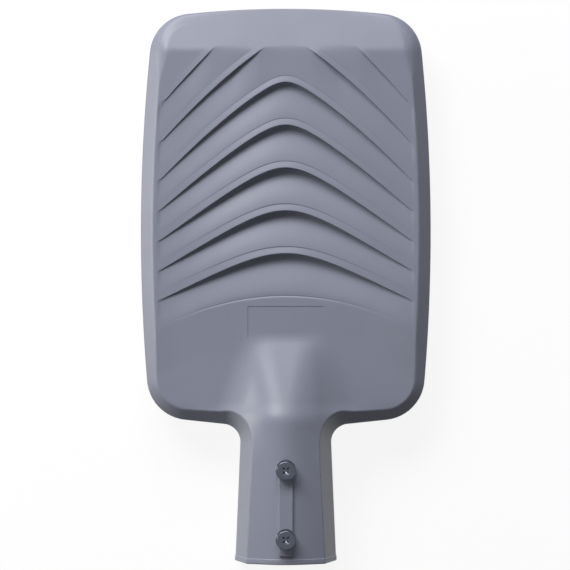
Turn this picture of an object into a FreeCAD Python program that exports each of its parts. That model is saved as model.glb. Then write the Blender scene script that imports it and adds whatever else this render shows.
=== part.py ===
import FreeCAD, Part
import os
import Sketcher
from math import cos, pi, radians, sin, sqrt, tan
from FreeCAD import Placement, Rotation, Vector

os.makedirs("parts", exist_ok=True)
doc = FreeCAD.newDocument("street_light_head")
sheet = doc.addObject("Spreadsheet::Sheet", "sizes")

# Driving dimensions in millimetres and degrees.
# The frame: the pole socket's axis is Y, its mouth is Y = 0, the nose points to +Y, up is +Z.
# Level 0 is the parting line of the casting, which is also the middle of the pole socket.
driving_sizes = {
    # plan outline of the casting at the parting line
    "head_length": 441.4,
    "head_half_width": 116,
    "widest_y": 262.7,
    "side_radius": 1440,
    "nose_radius": 760,
    "front_corner_radius": 33.6,
    "rear_corner_radius": 34,
    "rear_edge_y": 103.9,
    "rear_edge_angle": 6,
    "neck_fillet_radius": 14.4,
    "mouth_half_width": 40.35,
    "neck_taper": 2.43,
    # levels and slopes of the casting
    "underside_depth": 35.25,
    "wall_draft": 1.2,
    "top_level": 10,
    "bevel_width": 10.5,
    "neck_facet_height": 24.5,
    "nose_crease_y": 407.5,
    "nose_angle": 16.5,
    "crest_level": 35.25,
    # louvres
    "ridge_half_span": 102.9,
    "third_ridge_apex": 382.1,
    "ridge_pitch": 34.1,
    "third_ridge_end": 301,
    "front_end_pitch": 29.2,
    "rear_end_pitch": 23.5,
    "ridge_count": 7,
    "lip_rise": 1.2,
    "lip_width": 4,
    "lip_end_width": 7,
    "louvre_depth": 6.5,
    "louvre_end_depth": 0.3,
    "front_louvre_share": 0.45,
    "full_depth_louvre": 5,
    "louvre_wall_lean": 0.35,
    "nose_fade_run": 32,
    # area behind the louvres
    "step_apex_y": 211.1,
    "step_bow": 26,
    "step_height": 0.8,
    "crown_drop": 1.8,
    "crown_run": 40,
    "hump_front_y": 188,
    "hump_rear_y": 105,
    "hump_front_half_width": 27,
    "hump_flare": 0.4,
    "hump_rear_half_width": 57,
    "hump_ease_share": 0.12,
    "hump_turn_share": 0.55,
    "plate_recess_width": 61,
    "plate_recess_length": 25.3,
    "plate_recess_y": 190.8,
    "plate_recess_depth": 0.35,
    "plate_recess_corner": 1.5,
    # pole socket
    "socket_radius": 30.5,
    "socket_depth": 92,
    "cable_space_radius": 27,
    "cable_space_length": 24,
    "rib_width": 11.3,
    "rib_height": 2.3,
    "rib_front_margin": 5,
    "rib_root": 4,
    "lip_band_length": 4.2,
    "lip_band_height": 0.4,
    "front_clamp_y": 75,
    "rear_clamp_y": 20.7,
    "clamp_thread": 8,
    "clamp_head": 16,
    "clamp_head_height": 5.6,
    "clamp_washer": 17,
    "clamp_washer_thickness": 1.6,
    "thread_clearance": 0.1,
    # lamp chamber, open downwards
    "chamber_half_width": 92,
    "chamber_rear_y": 218.5,
    "chamber_front_y": 416,
    "chamber_ceiling": 1,
    "chamber_corner": 12,
    "glass_ledge": 6,
    "frame_strip": 9,
    "glass_thickness": 4,
    "gasket_thickness": 1.5,
    "frame_thickness": 1.5,
    "screw_recess": 2.5,
    "seat_clearance": 0.3,
    # driver bay, open downwards
    "bay_half_width": 94,
    "bay_rear_y": 126,
    "bay_front_y": 190.5,
    "bay_ceiling": 5,
    "bay_corner": 16,
    "cover_ledge": 8.5,
    "cover_thickness": 2.5,
    # small fasteners
    "screw_thread": 4,
    "screw_head": 7,
    "screw_head_height": 2.2,
    "screw_grip": 8,
    "board_grip": 10.5,
    "boss_grip": 7,
    "block_grip": 12,
    "block_bite": 3,
    "hole_overrun": 0.5,
    # lamp
    "pad_thickness": 0.5,
    "board_thickness": 2,
    "board_side_gap": 8,
    "board_margin": 8,
    "chip_side": 5,
    "chip_height": 1.6,
    "lens_plate_thickness": 5,
    "lens_wall": 2.8,
    "lens_rim": 7,
    "lens_radius": 10,
    "lens_height": 5,
    "lens_pitch": 29,
    "lens_columns": 5,
    "lens_rows": 5,
    "connector_strip": 14,
    "plug_inset": 2,
    # driver bay contents
    "driver_length": 120,
    "driver_width": 40,
    "driver_height": 28,
    "driver_ear": 11,
    "ear_thickness": 2,
    "boss_radius": 5,
    "boss_height": 4,
    "driver_middle_x": 4,
    "bay_gap": 1.5,
    "surge_length": 34,
    "surge_width": 18,
    "surge_height": 22,
    "surge_end_x": -26,
    "terminal_length": 30,
    "terminal_width": 18,
    "terminal_height": 17,
    "terminal_start_x": 20,
    "terminal_y": 140,
    "gland_thread": 16,
    "gland_spanner": 22,
    "gland_bore": 5,
    "gland_drop": 11,
    "gland_hex_length": 5,
    "gland_nut_length": 5,
    "gland_cap_length": 15,
    "gland_cap_wall": 1.5,
    "gland_throat_step": 1,
    "lead_diameter": 2.2,
    "lead_spacing": 3,
    "lead_drop": 8,
    "lead_loop": 18,
    "lead_run_x": -70,
    "grommet_radius": 5,
    "grommet_wall": 1.3,
    "grommet_flange": 2,
    "vent_x": 76,
    "vent_y": 150,
    "vent_thread": 12,
    "vent_head": 17,
    "vent_depth": 9,
    "earth_gap": 4.5,
    "earth_ring_rim": 1,
    # how far shapes that only cut or trim run past the casting
    "overrun": 60,
    "bevel_overrun_share": 3,
    "joint_overlap": 0.4,
}
for row, (alias, value) in enumerate(driving_sizes.items(), start=1):
    sheet.set(f"A{row}", alias)
    sheet.set(f"B{row}", str(value))
    sheet.setAlias(f"B{row}", alias)
doc.recompute()


def size(alias):
    """The number that a cell of the sheet holds."""
    return float(sheet.get(alias))


def on_circle(centre, radius, towards):
    """The point of a circle that lies in the direction of another point."""
    direction = towards - centre
    direction.normalize()
    return centre + direction * radius


def circles_meeting(first, first_radius, second, second_radius):
    """The meeting point of two circles that lies further towards +X."""
    between = second - first
    distance = between.Length
    along = (distance**2 + first_radius**2 - second_radius**2) / (2 * distance)
    across = sqrt(first_radius**2 - along**2)
    middle = first + between * (along / distance)
    side = Vector(-between.y, between.x, 0) * (across / distance)
    return max(middle + side, middle - side, key=lambda point: point.x)


def lines_meeting(first, first_way, second, second_way):
    """The meeting point of two straight lines in plan."""
    cross = first_way.x * second_way.y - first_way.y * second_way.x
    gap = second - first
    along = (gap.x * second_way.y - gap.y * second_way.x) / cross
    return first + first_way * along


def arc_about(centre, start, end):
    """The shorter arc about a centre from start to end."""
    middle = (start + end) * 0.5
    radius = (start - centre).Length
    return Part.Arc(start, on_circle(centre, radius, middle), end).toShape()


def rear_edge():
    """A point of the rear edge line on the middle plane, its direction and its inward normal."""
    angle = radians(size("rear_edge_angle"))
    along = Vector(cos(angle), sin(angle), 0)
    return Vector(0, size("rear_edge_y"), 0), along, Vector(-along.y, along.x, 0)


def neck_side():
    """A point of the neck's side line at the mouth, its direction and its inward normal."""
    taper = radians(size("neck_taper"))
    start = Vector(size("mouth_half_width"), 0, 0)
    return start, Vector(-sin(taper), cos(taper), 0), Vector(-cos(taper), -sin(taper), 0)


def half_outline(inset, body_level, neck_level):
    """Edges of the outline's +X half from the nose to the mouth, moved inwards by inset.

    The body's edges lie at body_level and the neck's at neck_level. The hollow corner between
    them climbs from one to the other.
    """
    side_centre = Vector(size("head_half_width") - size("side_radius"), size("widest_y"), 0)
    nose_centre = Vector(0, size("head_length") - size("nose_radius"), 0)
    front_centre = circles_meeting(
        side_centre, size("side_radius") - size("front_corner_radius"),
        nose_centre, size("nose_radius") - size("front_corner_radius"))
    edge_point, edge_way, edge_inward = rear_edge()
    rear_radius = size("rear_corner_radius")
    inner_side = size("side_radius") - rear_radius
    start = edge_point + edge_inward * rear_radius
    reach = edge_way.dot(side_centre - start)
    across = (side_centre - start - edge_way * reach).Length
    rear_centre = start + edge_way * (reach + sqrt(inner_side**2 - across**2))
    neck_point, neck_way, neck_inward = neck_side()
    fillet = size("neck_fillet_radius")
    hollow_centre = lines_meeting(
        edge_point - edge_inward * fillet, edge_way, neck_point - neck_inward * fillet, neck_way)

    def foot(point, line_point, way):
        return line_point + way * way.dot(point - line_point)

    nose_radius = size("nose_radius") - inset
    side_radius = size("side_radius") - inset
    points = [
        Vector(0, size("head_length") - inset, 0),
        on_circle(nose_centre, nose_radius, front_centre),
        on_circle(side_centre, side_radius, front_centre),
        on_circle(side_centre, side_radius, rear_centre),
        foot(rear_centre, edge_point + edge_inward * inset, edge_way),
        foot(hollow_centre, edge_point + edge_inward * inset, edge_way),
        foot(hollow_centre, neck_point + neck_inward * inset, neck_way),
        lines_meeting(neck_point + neck_inward * inset, neck_way, Vector(0, 0, 0), Vector(1, 0, 0)),
    ]
    body_edges = [
        arc_about(nose_centre, points[0], points[1]),
        arc_about(front_centre, points[1], points[2]),
        arc_about(side_centre, points[2], points[3]),
        arc_about(rear_centre, points[3], points[4]),
        Part.makeLine(points[4], points[5]),
    ]
    for edge in body_edges:
        edge.translate(Vector(0, 0, body_level))
    hollow = arc_about(hollow_centre, points[5], points[6])
    hollow_points = 9
    climbing = []
    for point in hollow.discretize(hollow_points):
        done = len(climbing) / (hollow_points - 1)
        level = body_level + (neck_level - body_level) * done * done * (3 - 2 * done)
        climbing.append(Vector(point.x, point.y, level))
    if body_level == neck_level:
        hollow.translate(Vector(0, 0, body_level))
    else:
        curve = Part.BSplineCurve()
        curve.interpolate(climbing)
        hollow = curve.toShape()
    neck = Part.makeLine(points[6], points[7])
    neck.translate(Vector(0, 0, neck_level))
    return body_edges + [hollow, neck]


def mirrored(edges):
    """The same edges on the -X side."""
    return [edge.mirror(Vector(0, 0, 0), Vector(1, 0, 0)) for edge in edges]


def ruled_band(lower, upper):
    """Ruled faces between the matching edges of two outlines, on both sides of the head."""
    faces = [Part.makeRuledSurface(low, high) for low, high in zip(lower, upper)]
    return faces + [face.mirror(Vector(0, 0, 0), Vector(1, 0, 0)) for face in faces]


def closed_face(edges):
    """A flat face inside edges that join end to end."""
    wire = Part.Wire(Part.__sortEdges__(edges))
    return Part.Face(wire)


def line_across(point):
    """The straight edge from a point to its mirror image."""
    return Part.makeLine(point, Vector(-point.x, point.y, point.z))


def bevelled_outline(grow=0):
    """The casting's outline as a solid: drafted wall below the parting line, bevel above it.

    The bevel goes on past the top face, which trims it later. It is 45 degrees on the body and
    steepens round the hollow corners into the neck's tall side facets.
    """
    hollow_index = 5
    past = size("bevel_overrun_share")
    bottom_level = -size("underside_depth")
    draft = size("underside_depth") * tan(radians(size("wall_draft")))
    body_top = size("top_level") * past
    neck_top = size("neck_facet_height") * past
    bottom = half_outline(draft - grow, bottom_level, bottom_level)
    parting = half_outline(-grow, 0, 0)
    top = half_outline(size("bevel_width") * past - grow, body_top, neck_top)
    faces = ruled_band(bottom, parting) + ruled_band(parting, top)
    mouth_low = bottom[-1].Vertexes[1].Point
    faces.append(closed_face(bottom + mirrored(bottom) + [line_across(mouth_low)]))
    body_rear = top[hollow_index].Vertexes[0].Point
    body_edges = top[:hollow_index]
    faces.append(closed_face(body_edges + mirrored(body_edges) + [line_across(body_rear)]))
    faces.append(Part.makeRuledSurface(top[hollow_index], mirrored(top)[hollow_index]))
    neck_front = top[-1].Vertexes[0].Point
    mouth_top = top[-1].Vertexes[1].Point
    faces.append(closed_face([top[-1], mirrored(top)[-1], line_across(neck_front), line_across(mouth_top)]))
    mouth_middle = parting[-1].Vertexes[1].Point
    rim = [mouth_low, mouth_middle, mouth_top]
    rim += [Vector(-point.x, point.y, point.z) for point in reversed(rim)]
    faces.append(Part.Face(Part.makePolygon(rim + rim[:1])))
    shell = Part.makeShell(faces)
    shell.sewShape()
    solid = Part.makeSolid(shell)
    if solid.Volume < 0:
        solid.reverse()
    return solid


def arc_step_y(x):
    """Y of the arc-shaped step where the louvres end and the plain rear area begins."""
    share = x / size("ridge_half_span")
    return size("step_apex_y") - size("step_bow") * share * share


def two_parabolas(share, turn):
    """A smooth fall from 1 to 0: hollow side up until turn, then a foot that runs out flat."""
    if share >= 1:
        return 0
    if share <= turn:
        return 1 - share * share / turn
    return (1 - share) ** 2 / (1 - turn)


def rounded_ramp(share):
    """A straight climb from 0 to 1 with its two ends eased into the level."""
    ease = size("hump_ease_share")
    share = min(max(share, 0), 1)
    if share < ease:
        return share * share / (2 * ease * (1 - ease))
    if share > 1 - ease:
        return 1 - (1 - share) ** 2 / (2 * ease * (1 - ease))
    return (share - ease / 2) / (1 - ease)


def rear_level(x, y):
    """Height of the rear area with the hump and the neck's crest.

    It starts level along the arc step and falls away to the sides behind it.
    """
    crown = size("crown_drop") * (x / (size("head_half_width") - size("bevel_width"))) ** 2
    crown *= rounded_ramp((arc_step_y(x) - y) / size("crown_run"))
    rise = size("crest_level") - size("top_level")
    hump_length = size("hump_front_y") - size("hump_rear_y")
    rise *= rounded_ramp((size("hump_front_y") - y) / hump_length)
    half_width = size("hump_front_half_width") + size("hump_flare") * (size("hump_front_y") - y)
    half_width = min(half_width, size("hump_rear_half_width"))
    return size("top_level") - crown + rise * two_parabolas(abs(x) / half_width, size("hump_turn_share"))


def clamped_ends(poles):
    """Knot multiplicities of a cubic curve through its first and last pole."""
    return [4] + [1] * (poles - 4) + [4]


def rear_block():
    """Everything under the rear area, as far forward as the arc step."""
    reach = size("head_half_width") + 2
    columns, rows = 27, 33
    across = [-reach + 2 * reach * column / (columns - 1) for column in range(columns)]
    poles = []
    for row in range(rows):
        share = row / (rows - 1)
        places = [(x, -1 + (arc_step_y(x) + 1) * share) for x in across]
        poles.append([Vector(x, y, rear_level(x, y)) for x, y in places])
    surface = Part.BSplineSurface()
    surface.buildFromPolesMultsKnots(
        poles, clamped_ends(rows), clamped_ends(columns), list(range(rows - 2)), list(range(columns - 2)),
        False, False, 3, 3)
    return surface.toShape().extrude(Vector(0, 0, -2 * size("underside_depth")))


def ridge_curve(ridge, x):
    """Y of a louvre's crest: a chevron with a rounded point, counted 1 to 7 from the nose."""
    from_third = ridge - 3
    apex = size("third_ridge_apex") - size("ridge_pitch") * from_third
    end_pitch = size("rear_end_pitch") if from_third > 0 else size("front_end_pitch")
    end = size("third_ridge_end") - end_pitch * from_third
    rounding = min(max(0.12 + 0.07 * from_third, 0.1), 0.4)
    bow = max(0.5 - 2 * rounding, -0.1)
    share = x / size("ridge_half_span")
    chevron = (sqrt(rounding**2 + share**2) - rounding) / (sqrt(rounding**2 + 1) - rounding)
    return apex + (end - apex) * ((1 - bow) * chevron + bow * share * share)


def louvre_profile(x):
    """Points (y, z) of the louvred face at one x, from the nose to behind the arc step.

    Each louvre is a lip that climbs to its crest, a leaning wall behind the crest and a long
    slope up to the next lip. Lip and wall fade out towards both ends, and the two louvres that
    run into the nose plane fade out at its crease.
    """
    top = size("top_level")
    share = min(abs(x) / size("ridge_half_span"), 1)
    fade = 1 - share**1.5
    lip = size("lip_width") + (size("lip_end_width") - size("lip_width")) * share
    rise = size("lip_rise") * (1 - share * share) ** 1.5
    points = [(size("head_length") + size("overrun"), top)]
    for ridge in range(1, int(size("ridge_count")) + 1):
        crest = ridge_curve(ridge, x)
        towards_full = min((ridge - 1) / (size("full_depth_louvre") - 1), 1)
        reach = size("front_louvre_share") + (1 - size("front_louvre_share")) * towards_full
        depth = size("louvre_depth") - size("louvre_end_depth")
        behind_crease = rounded_ramp((size("nose_crease_y") - crest) / size("nose_fade_run"))
        depth = size("louvre_end_depth") + depth * fade * reach * behind_crease
        points.append((crest + lip, top))
        points.append((crest, top + rise))
        points.append((crest - size("louvre_wall_lean") * (depth + rise), top - depth))
    points.append((arc_step_y(x) - size("joint_overlap"), top - size("step_height") * (1 - share * share)))
    return points


def louvre_block():
    """Everything under the louvred face, lofted through cross sections along X."""
    span = size("ridge_half_span")
    half = [0.05, 0.1, 0.16, 0.23, 0.32, 0.44, 0.58, 0.72, 0.86, 1]
    stations = [-span * share for share in reversed(half)] + [0] + [span * share for share in half]
    floor = -2 * size("underside_depth")
    wires = []
    for x in stations:
        profile = louvre_profile(x)
        profile.append((profile[-1][0], floor))
        profile.append((profile[0][0], floor))
        points = [Vector(x, y, z) for y, z in profile]
        wires.append(Part.makePolygon(points + points[:1]))
    return Part.makeLoft(wires, True, False)


def margin_block(side):
    """The plain strip between the louvres' ends and the bevel on one side."""
    span = size("ridge_half_span")
    width = size("head_half_width") - span + 2
    rear_y = arc_step_y(span + width)
    length = size("head_length") - rear_y + size("overrun")
    depth = 2 * size("underside_depth") + size("top_level")
    low_x = span if side > 0 else -span - width
    return Part.makeBox(width, length, depth, Vector(low_x, rear_y, -2 * size("underside_depth")))


def nose_wedge():
    """What the sloping nose plane takes off, ahead of its crease."""
    crease = Vector(0, size("nose_crease_y"), size("top_level"))
    slope = tan(radians(size("nose_angle")))
    ahead = size("overrun")
    behind = ahead / 3
    corners = [
        crease + Vector(0, -behind, behind * slope),
        crease + Vector(0, ahead, -ahead * slope),
        crease + Vector(0, ahead, ahead),
        crease + Vector(0, -behind, ahead),
    ]
    face = Part.Face(Part.makePolygon(corners + corners[:1]))
    width = 2 * size("head_half_width") + ahead
    face.translate(Vector(-width / 2, 0, 0))
    return face.extrude(Vector(width, 0, 0))


def bind(item, **expressions):
    """Ties an object's properties to the sheet. A double underscore stands for a dot."""
    for name, expression in expressions.items():
        item.setExpression(name.replace("__", "."), expression)
    return item


def at(item, x="0", y="0", z="0"):
    """Places an object by expressions."""
    return bind(item, Placement__Base__x=x, Placement__Base__y=y, Placement__Base__z=z)


def attached_sketch(body, plane_role):
    """A sketch on one of the body's own origin planes."""
    plane = [item for item in body.Origin.OriginFeatures if item.Role == plane_role][0]
    sketch = body.newObject("Sketcher::SketchObject", body.Name + "_sketch")
    sketch.AttachmentSupport = (plane, "")
    sketch.MapMode = "FlatFace"
    return sketch


def centred_rectangle(sketch, x_size, y_size):
    """A rectangle about the sketch's origin. Its sides are tied to two expressions."""
    corners = [Vector(-1, -1, 0), Vector(1, -1, 0), Vector(1, 1, 0), Vector(-1, 1, 0)]
    for start, end in zip(corners, corners[1:] + corners[:1]):
        sketch.addGeometry(Part.LineSegment(start, end), False)
    for line in range(4):
        sketch.addConstraint(Sketcher.Constraint("Coincident", line, 2, (line + 1) % 4, 1))
        sketch.addConstraint(Sketcher.Constraint("Horizontal" if line % 2 == 0 else "Vertical", line))
    sketch.addConstraint(Sketcher.Constraint("Symmetric", 0, 1, 1, 2, -1, 1))
    width = sketch.addConstraint(Sketcher.Constraint("DistanceX", 0, 1, 0, 2, 2))
    depth = sketch.addConstraint(Sketcher.Constraint("DistanceY", 1, 1, 1, 2, 2))
    sketch.setExpression(f"Constraints[{width}]", x_size)
    sketch.setExpression(f"Constraints[{depth}]", y_size)


def rounded_block(name, x_size, y_size, z_size, corner, y_middle, z_low):
    """A block on the head's middle plane with rounded upright edges. All sizes are expressions."""
    body = doc.addObject("PartDesign::Body", name)
    sketch = attached_sketch(body, "XY_Plane")
    centred_rectangle(sketch, x_size, y_size)
    pad = body.newObject("PartDesign::Pad", name + "_pad")
    pad.Profile = sketch
    bind(pad, Length=z_size)
    doc.recompute()
    upright = []
    for index, edge in enumerate(pad.Shape.Edges, start=1):
        if edge.tangentAt(edge.FirstParameter).cross(Vector(0, 0, 1)).Length < 0.01:
            upright.append(f"Edge{index}")
    fillet = body.newObject("PartDesign::Fillet", name + "_corners")
    fillet.Base = (pad, upright)
    bind(fillet, Radius=corner)
    body.Tip = fillet
    return at(body, y=y_middle, z=z_low)


def cylinder(name, radius, height, x="0", y="0", z="0", along=Vector(0, 0, 1)):
    """A cylinder that starts at a point and runs along a direction."""
    item = doc.addObject("Part::Cylinder", name)
    item.Placement = Placement(Vector(0, 0, 0), Rotation(Vector(0, 0, 1), along))
    bind(item, Radius=radius, Height=height)
    return at(item, x, y, z)


def box(name, x_size, y_size, z_size, x, y, z):
    """A box from its lowest corner."""
    item = bind(doc.addObject("Part::Box", name), Length=x_size, Width=y_size, Height=z_size)
    return at(item, x, y, z)


def hexagon(name, spanner, height, x, y, z):
    """A hexagonal prism along Y, given by its spanner size."""
    item = doc.addObject("Part::Prism", name)
    item.Polygon = 6
    item.Placement = Placement(Vector(0, 0, 0), Rotation(Vector(1, 0, 0), -90))
    bind(item, Circumradius=f"({spanner}) / 2 / cos(30)", Height=height)
    return at(item, x, y, z)


def feature(name, shape):
    """A shape that was worked out by functions."""
    item = doc.addObject("Part::Feature", name)
    item.Shape = shape
    return item


def joined(name, *items):
    """One object from several."""
    fusion = doc.addObject("Part::MultiFuse", name)
    fusion.Shapes = list(items)
    return fusion


def without(name, base, *tools):
    """A base with tools taken away from it."""
    tool = tools[0] if len(tools) == 1 else joined(name + "_tools", *tools)
    cut = doc.addObject("Part::Cut", name)
    cut.Base = base
    cut.Tool = tool
    return cut


def copies(name, prototype, places):
    """A group of separate solids: the prototype's shape at each place."""
    doc.recompute()
    shapes = []
    for place in places:
        shape = prototype.Shape.copy()
        shape.translate(place)
        shapes.append(shape)
    return feature(name, Part.makeCompound(shapes))


subparts = {}


def subpart(name, item):
    """Registers an object as a piece of the head. Its label is the piece's name."""
    item.Label = name
    subparts[name] = item
    return item


def casting_form():
    """The casting's outer form, still solid inside."""
    ground = rear_block()
    terrain = ground.fuse([louvre_block(), margin_block(1), margin_block(-1)])
    form = bevelled_outline().common(terrain.cut(nose_wedge()))
    return form.fuse([spigot_lip(ground), spigot_rib()]).cut(plate_recess(ground))


def spigot_lip(ground):
    """The raised band round the spigot's mouth, flush with the rest underneath."""
    height = size("lip_band_height")
    raised = ground.translated(Vector(0, 0, height))
    reach = size("mouth_half_width") + 10
    depth = size("underside_depth")
    keep = Part.makeBox(2 * reach, size("lip_band_length"), 3 * depth, Vector(-reach, 0, -depth))
    return bevelled_outline(height).common(raised).common(keep)


def spigot_rib():
    """The flat-topped rib on the spigot's crest, which carries the clamp screws."""
    width = size("rib_width")
    rear_y = size("lip_band_length")
    length = size("front_clamp_y") + size("rib_front_margin") - rear_y
    sunk = size("rib_root")
    base = Vector(-width / 2, rear_y, size("crest_level") - sunk)
    rib = Part.makeBox(width, length, sunk + size("rib_height"), base)
    rounding = size("rib_height") / 2
    top = [edge for edge in rib.Edges if edge.BoundBox.ZMin > base.z + sunk]
    return rib.makeFillet(rounding, top)


def plate_recess(ground):
    """The shallow bare recess across the hump's front foot, level with the surface round it."""
    width = size("plate_recess_width")
    length = size("plate_recess_length")
    base = Vector(-width / 2, size("plate_recess_y") - length / 2, 0)
    block = Part.makeBox(width, length, size("crest_level"), base)
    upright = [edge for edge in block.Edges if edge.BoundBox.ZLength > 1]
    block = block.makeFillet(size("plate_recess_corner"), upright)
    return block.cut(ground.translated(Vector(0, 0, -size("plate_recess_depth"))))


def profile(sketch, corners):
    """A closed outline of straight lines. Each corner is a pair of expressions."""
    values = [[float(sketch.evalExpression(text)) for text in corner] for corner in corners]
    points = [Vector(x, y, 0) for x, y in values]
    for start, end in zip(points, points[1:] + points[:1]):
        sketch.addGeometry(Part.LineSegment(start, end), False)
    for line, corner in enumerate(corners):
        following = (line + 1) % len(corners)
        sketch.addConstraint(Sketcher.Constraint("Coincident", line, 2, following, 1))
    for line, (corner, place) in enumerate(zip(corners, values)):
        for kind, axis, text, number in zip(("DistanceX", "DistanceY"), (-2, -1), corner, place):
            if number == 0:
                sketch.addConstraint(Sketcher.Constraint("PointOnObject", line, 1, axis))
            elif number > 0:
                index = sketch.addConstraint(Sketcher.Constraint(kind, -1, 1, line, 1, number))
                sketch.setExpression(f"Constraints[{index}]", text)
            else:
                index = sketch.addConstraint(Sketcher.Constraint(kind, line, 1, -1, 1, -number))
                sketch.setExpression(f"Constraints[{index}]", f"-({text})")


def turned(name, corners):
    """A body turned about Z from a profile of (radius, height) expressions."""
    body = doc.addObject("PartDesign::Body", name)
    sketch = attached_sketch(body, "XZ_Plane")
    profile(sketch, corners)
    turn = body.newObject("PartDesign::Revolution", name + "_turn")
    turn.Profile = sketch
    turn.ReferenceAxis = (sketch, ["V_Axis"])
    turn.Angle = 360
    body.Tip = turn
    return body


def pan_screw(name, thread, length, head, head_height):
    """A pan head screw that points up from its head's bearing face at level 0."""
    return turned(name, [
        ("0", f"-({head_height})"),
        (f"0.36 * ({head})", f"-({head_height})"),
        (f"({head}) / 2", f"-0.55 * ({head_height})"),
        (f"({head}) / 2", "0"),
        (f"({thread}) / 2", "0"),
        (f"({thread}) / 2", f"({length}) - ({thread}) / 10"),
        (f"0.4 * ({thread})", length),
        ("0", length),
    ])


def hole_copies(name, radius, depth, places):
    """Round holes that run up from each place."""
    drill = cylinder(name + "_drill", radius, depth)
    return copies(name, drill, places)


# Places along the head, as expressions.
chamber_y = "(sizes.chamber_rear_y + sizes.chamber_front_y) / 2"
chamber_length = "(sizes.chamber_front_y - sizes.chamber_rear_y)"
frame_border = "(sizes.glass_ledge + sizes.frame_strip)"
bay_y = "(sizes.bay_rear_y + sizes.bay_front_y) / 2"
bay_length = "(sizes.bay_front_y - sizes.bay_rear_y)"
frame_outer_level = "(-sizes.underside_depth + sizes.screw_recess)"
frame_seat_level = f"({frame_outer_level} + sizes.frame_thickness)"
glass_seat_level = f"({frame_seat_level} + sizes.glass_thickness + sizes.gasket_thickness)"
cover_outer_level = frame_outer_level
cover_inner_level = f"({cover_outer_level} + sizes.cover_thickness)"
cover_seat_level = f"({cover_inner_level} + sizes.gasket_thickness)"
bulkhead_rear_y = "(sizes.socket_depth + sizes.cable_space_length)"
board_y = chamber_y
board_half_width = "(sizes.chamber_half_width - sizes.board_side_gap)"
board_length = f"({chamber_length} - 2 * sizes.board_margin)"
lens_length = f"({board_length} - sizes.connector_strip)"
lens_y = f"({board_y} + sizes.connector_strip / 2)"
board_face_level = "(sizes.chamber_ceiling - sizes.pad_thickness - sizes.board_thickness)"
lens_face_level = f"({board_face_level} - sizes.lens_plate_thickness)"
boss_level = "(sizes.bay_ceiling - sizes.boss_height)"
ear_level = f"({boss_level} - sizes.ear_thickness)"
driver_y = "(sizes.bay_front_y - sizes.bay_gap - sizes.driver_width / 2)"
driver_end = "(sizes.driver_length / 2)"
ear_middle = f"({driver_end} + sizes.driver_ear / 2)"
hole_radius = "(sizes.screw_thread / 2 + sizes.thread_clearance)"
earth_ring_radius = "(sizes.screw_head / 2 + sizes.earth_ring_rim)"
block_screw_level = "(sizes.bay_ceiling - sizes.block_grip + sizes.block_bite)"


def value(expression):
    """The number that an expression gives."""
    return float(sheet.evalExpression(expression))


def four_ways(x, y_middle, y_offset):
    """Two places on each side of the middle plane."""
    return [(side * x, y_middle + end * y_offset) for side in (-1, 1) for end in (-1, 1)]


def frame_screw_places():
    """Ten places round the glass: three on each side and two on each end."""
    x = value("sizes.chamber_half_width + sizes.glass_ledge + sizes.frame_strip / 2")
    half_length = value(f"{chamber_length} / 2 + sizes.glass_ledge + sizes.frame_strip / 2")
    middle = value(chamber_y)
    towards_corner = 0.85
    places = four_ways(x, middle, half_length * towards_corner) + [(-x, middle), (x, middle)]
    places += four_ways(x / 2, middle, half_length)
    return places


def cover_screw_places():
    """Eight places round the driver bay."""
    x = value("sizes.bay_half_width + sizes.cover_ledge / 2")
    half_length = value(f"{bay_length} / 2 + sizes.cover_ledge / 2")
    return four_ways(x, value(bay_y), half_length / 2) + four_ways(x / 2, value(bay_y), half_length)


def board_screw_places():
    """Ten places on the rim of the lens plate, clear of the louvres' deep middle."""
    x = value(f"{board_half_width} - sizes.lens_rim / 2")
    half_length = value(f"({lens_length} - sizes.lens_rim) / 2")
    middle = value(lens_y)
    places = four_ways(x, middle, half_length) + [(-x, middle), (x, middle)]
    return places + four_ways(x / 2, middle, half_length)


def driver_screw_places():
    """Two places on each ear of the driver."""
    middle = value("sizes.driver_middle_x")
    ways = four_ways(value(ear_middle), value(driver_y), value("sizes.driver_width / 3"))
    return [(middle + x, y) for x, y in ways]


def surge_screw_place():
    """The ear of the surge protector lies beyond its outer end."""
    x = value("sizes.surge_end_x - sizes.surge_length - sizes.driver_ear / 2")
    return [(x, size("terminal_y"))]


def earth_place():
    """The earth point lies beside the surge protector's ear."""
    ear_end = "sizes.surge_end_x - sizes.surge_length - sizes.driver_ear"
    return value(f"{ear_end} - sizes.earth_gap - {earth_ring_radius}"), size("terminal_y")


def lifted(places, level):
    """Plan places at one level."""
    return [Vector(x, y, level) for x, y in places]


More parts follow.
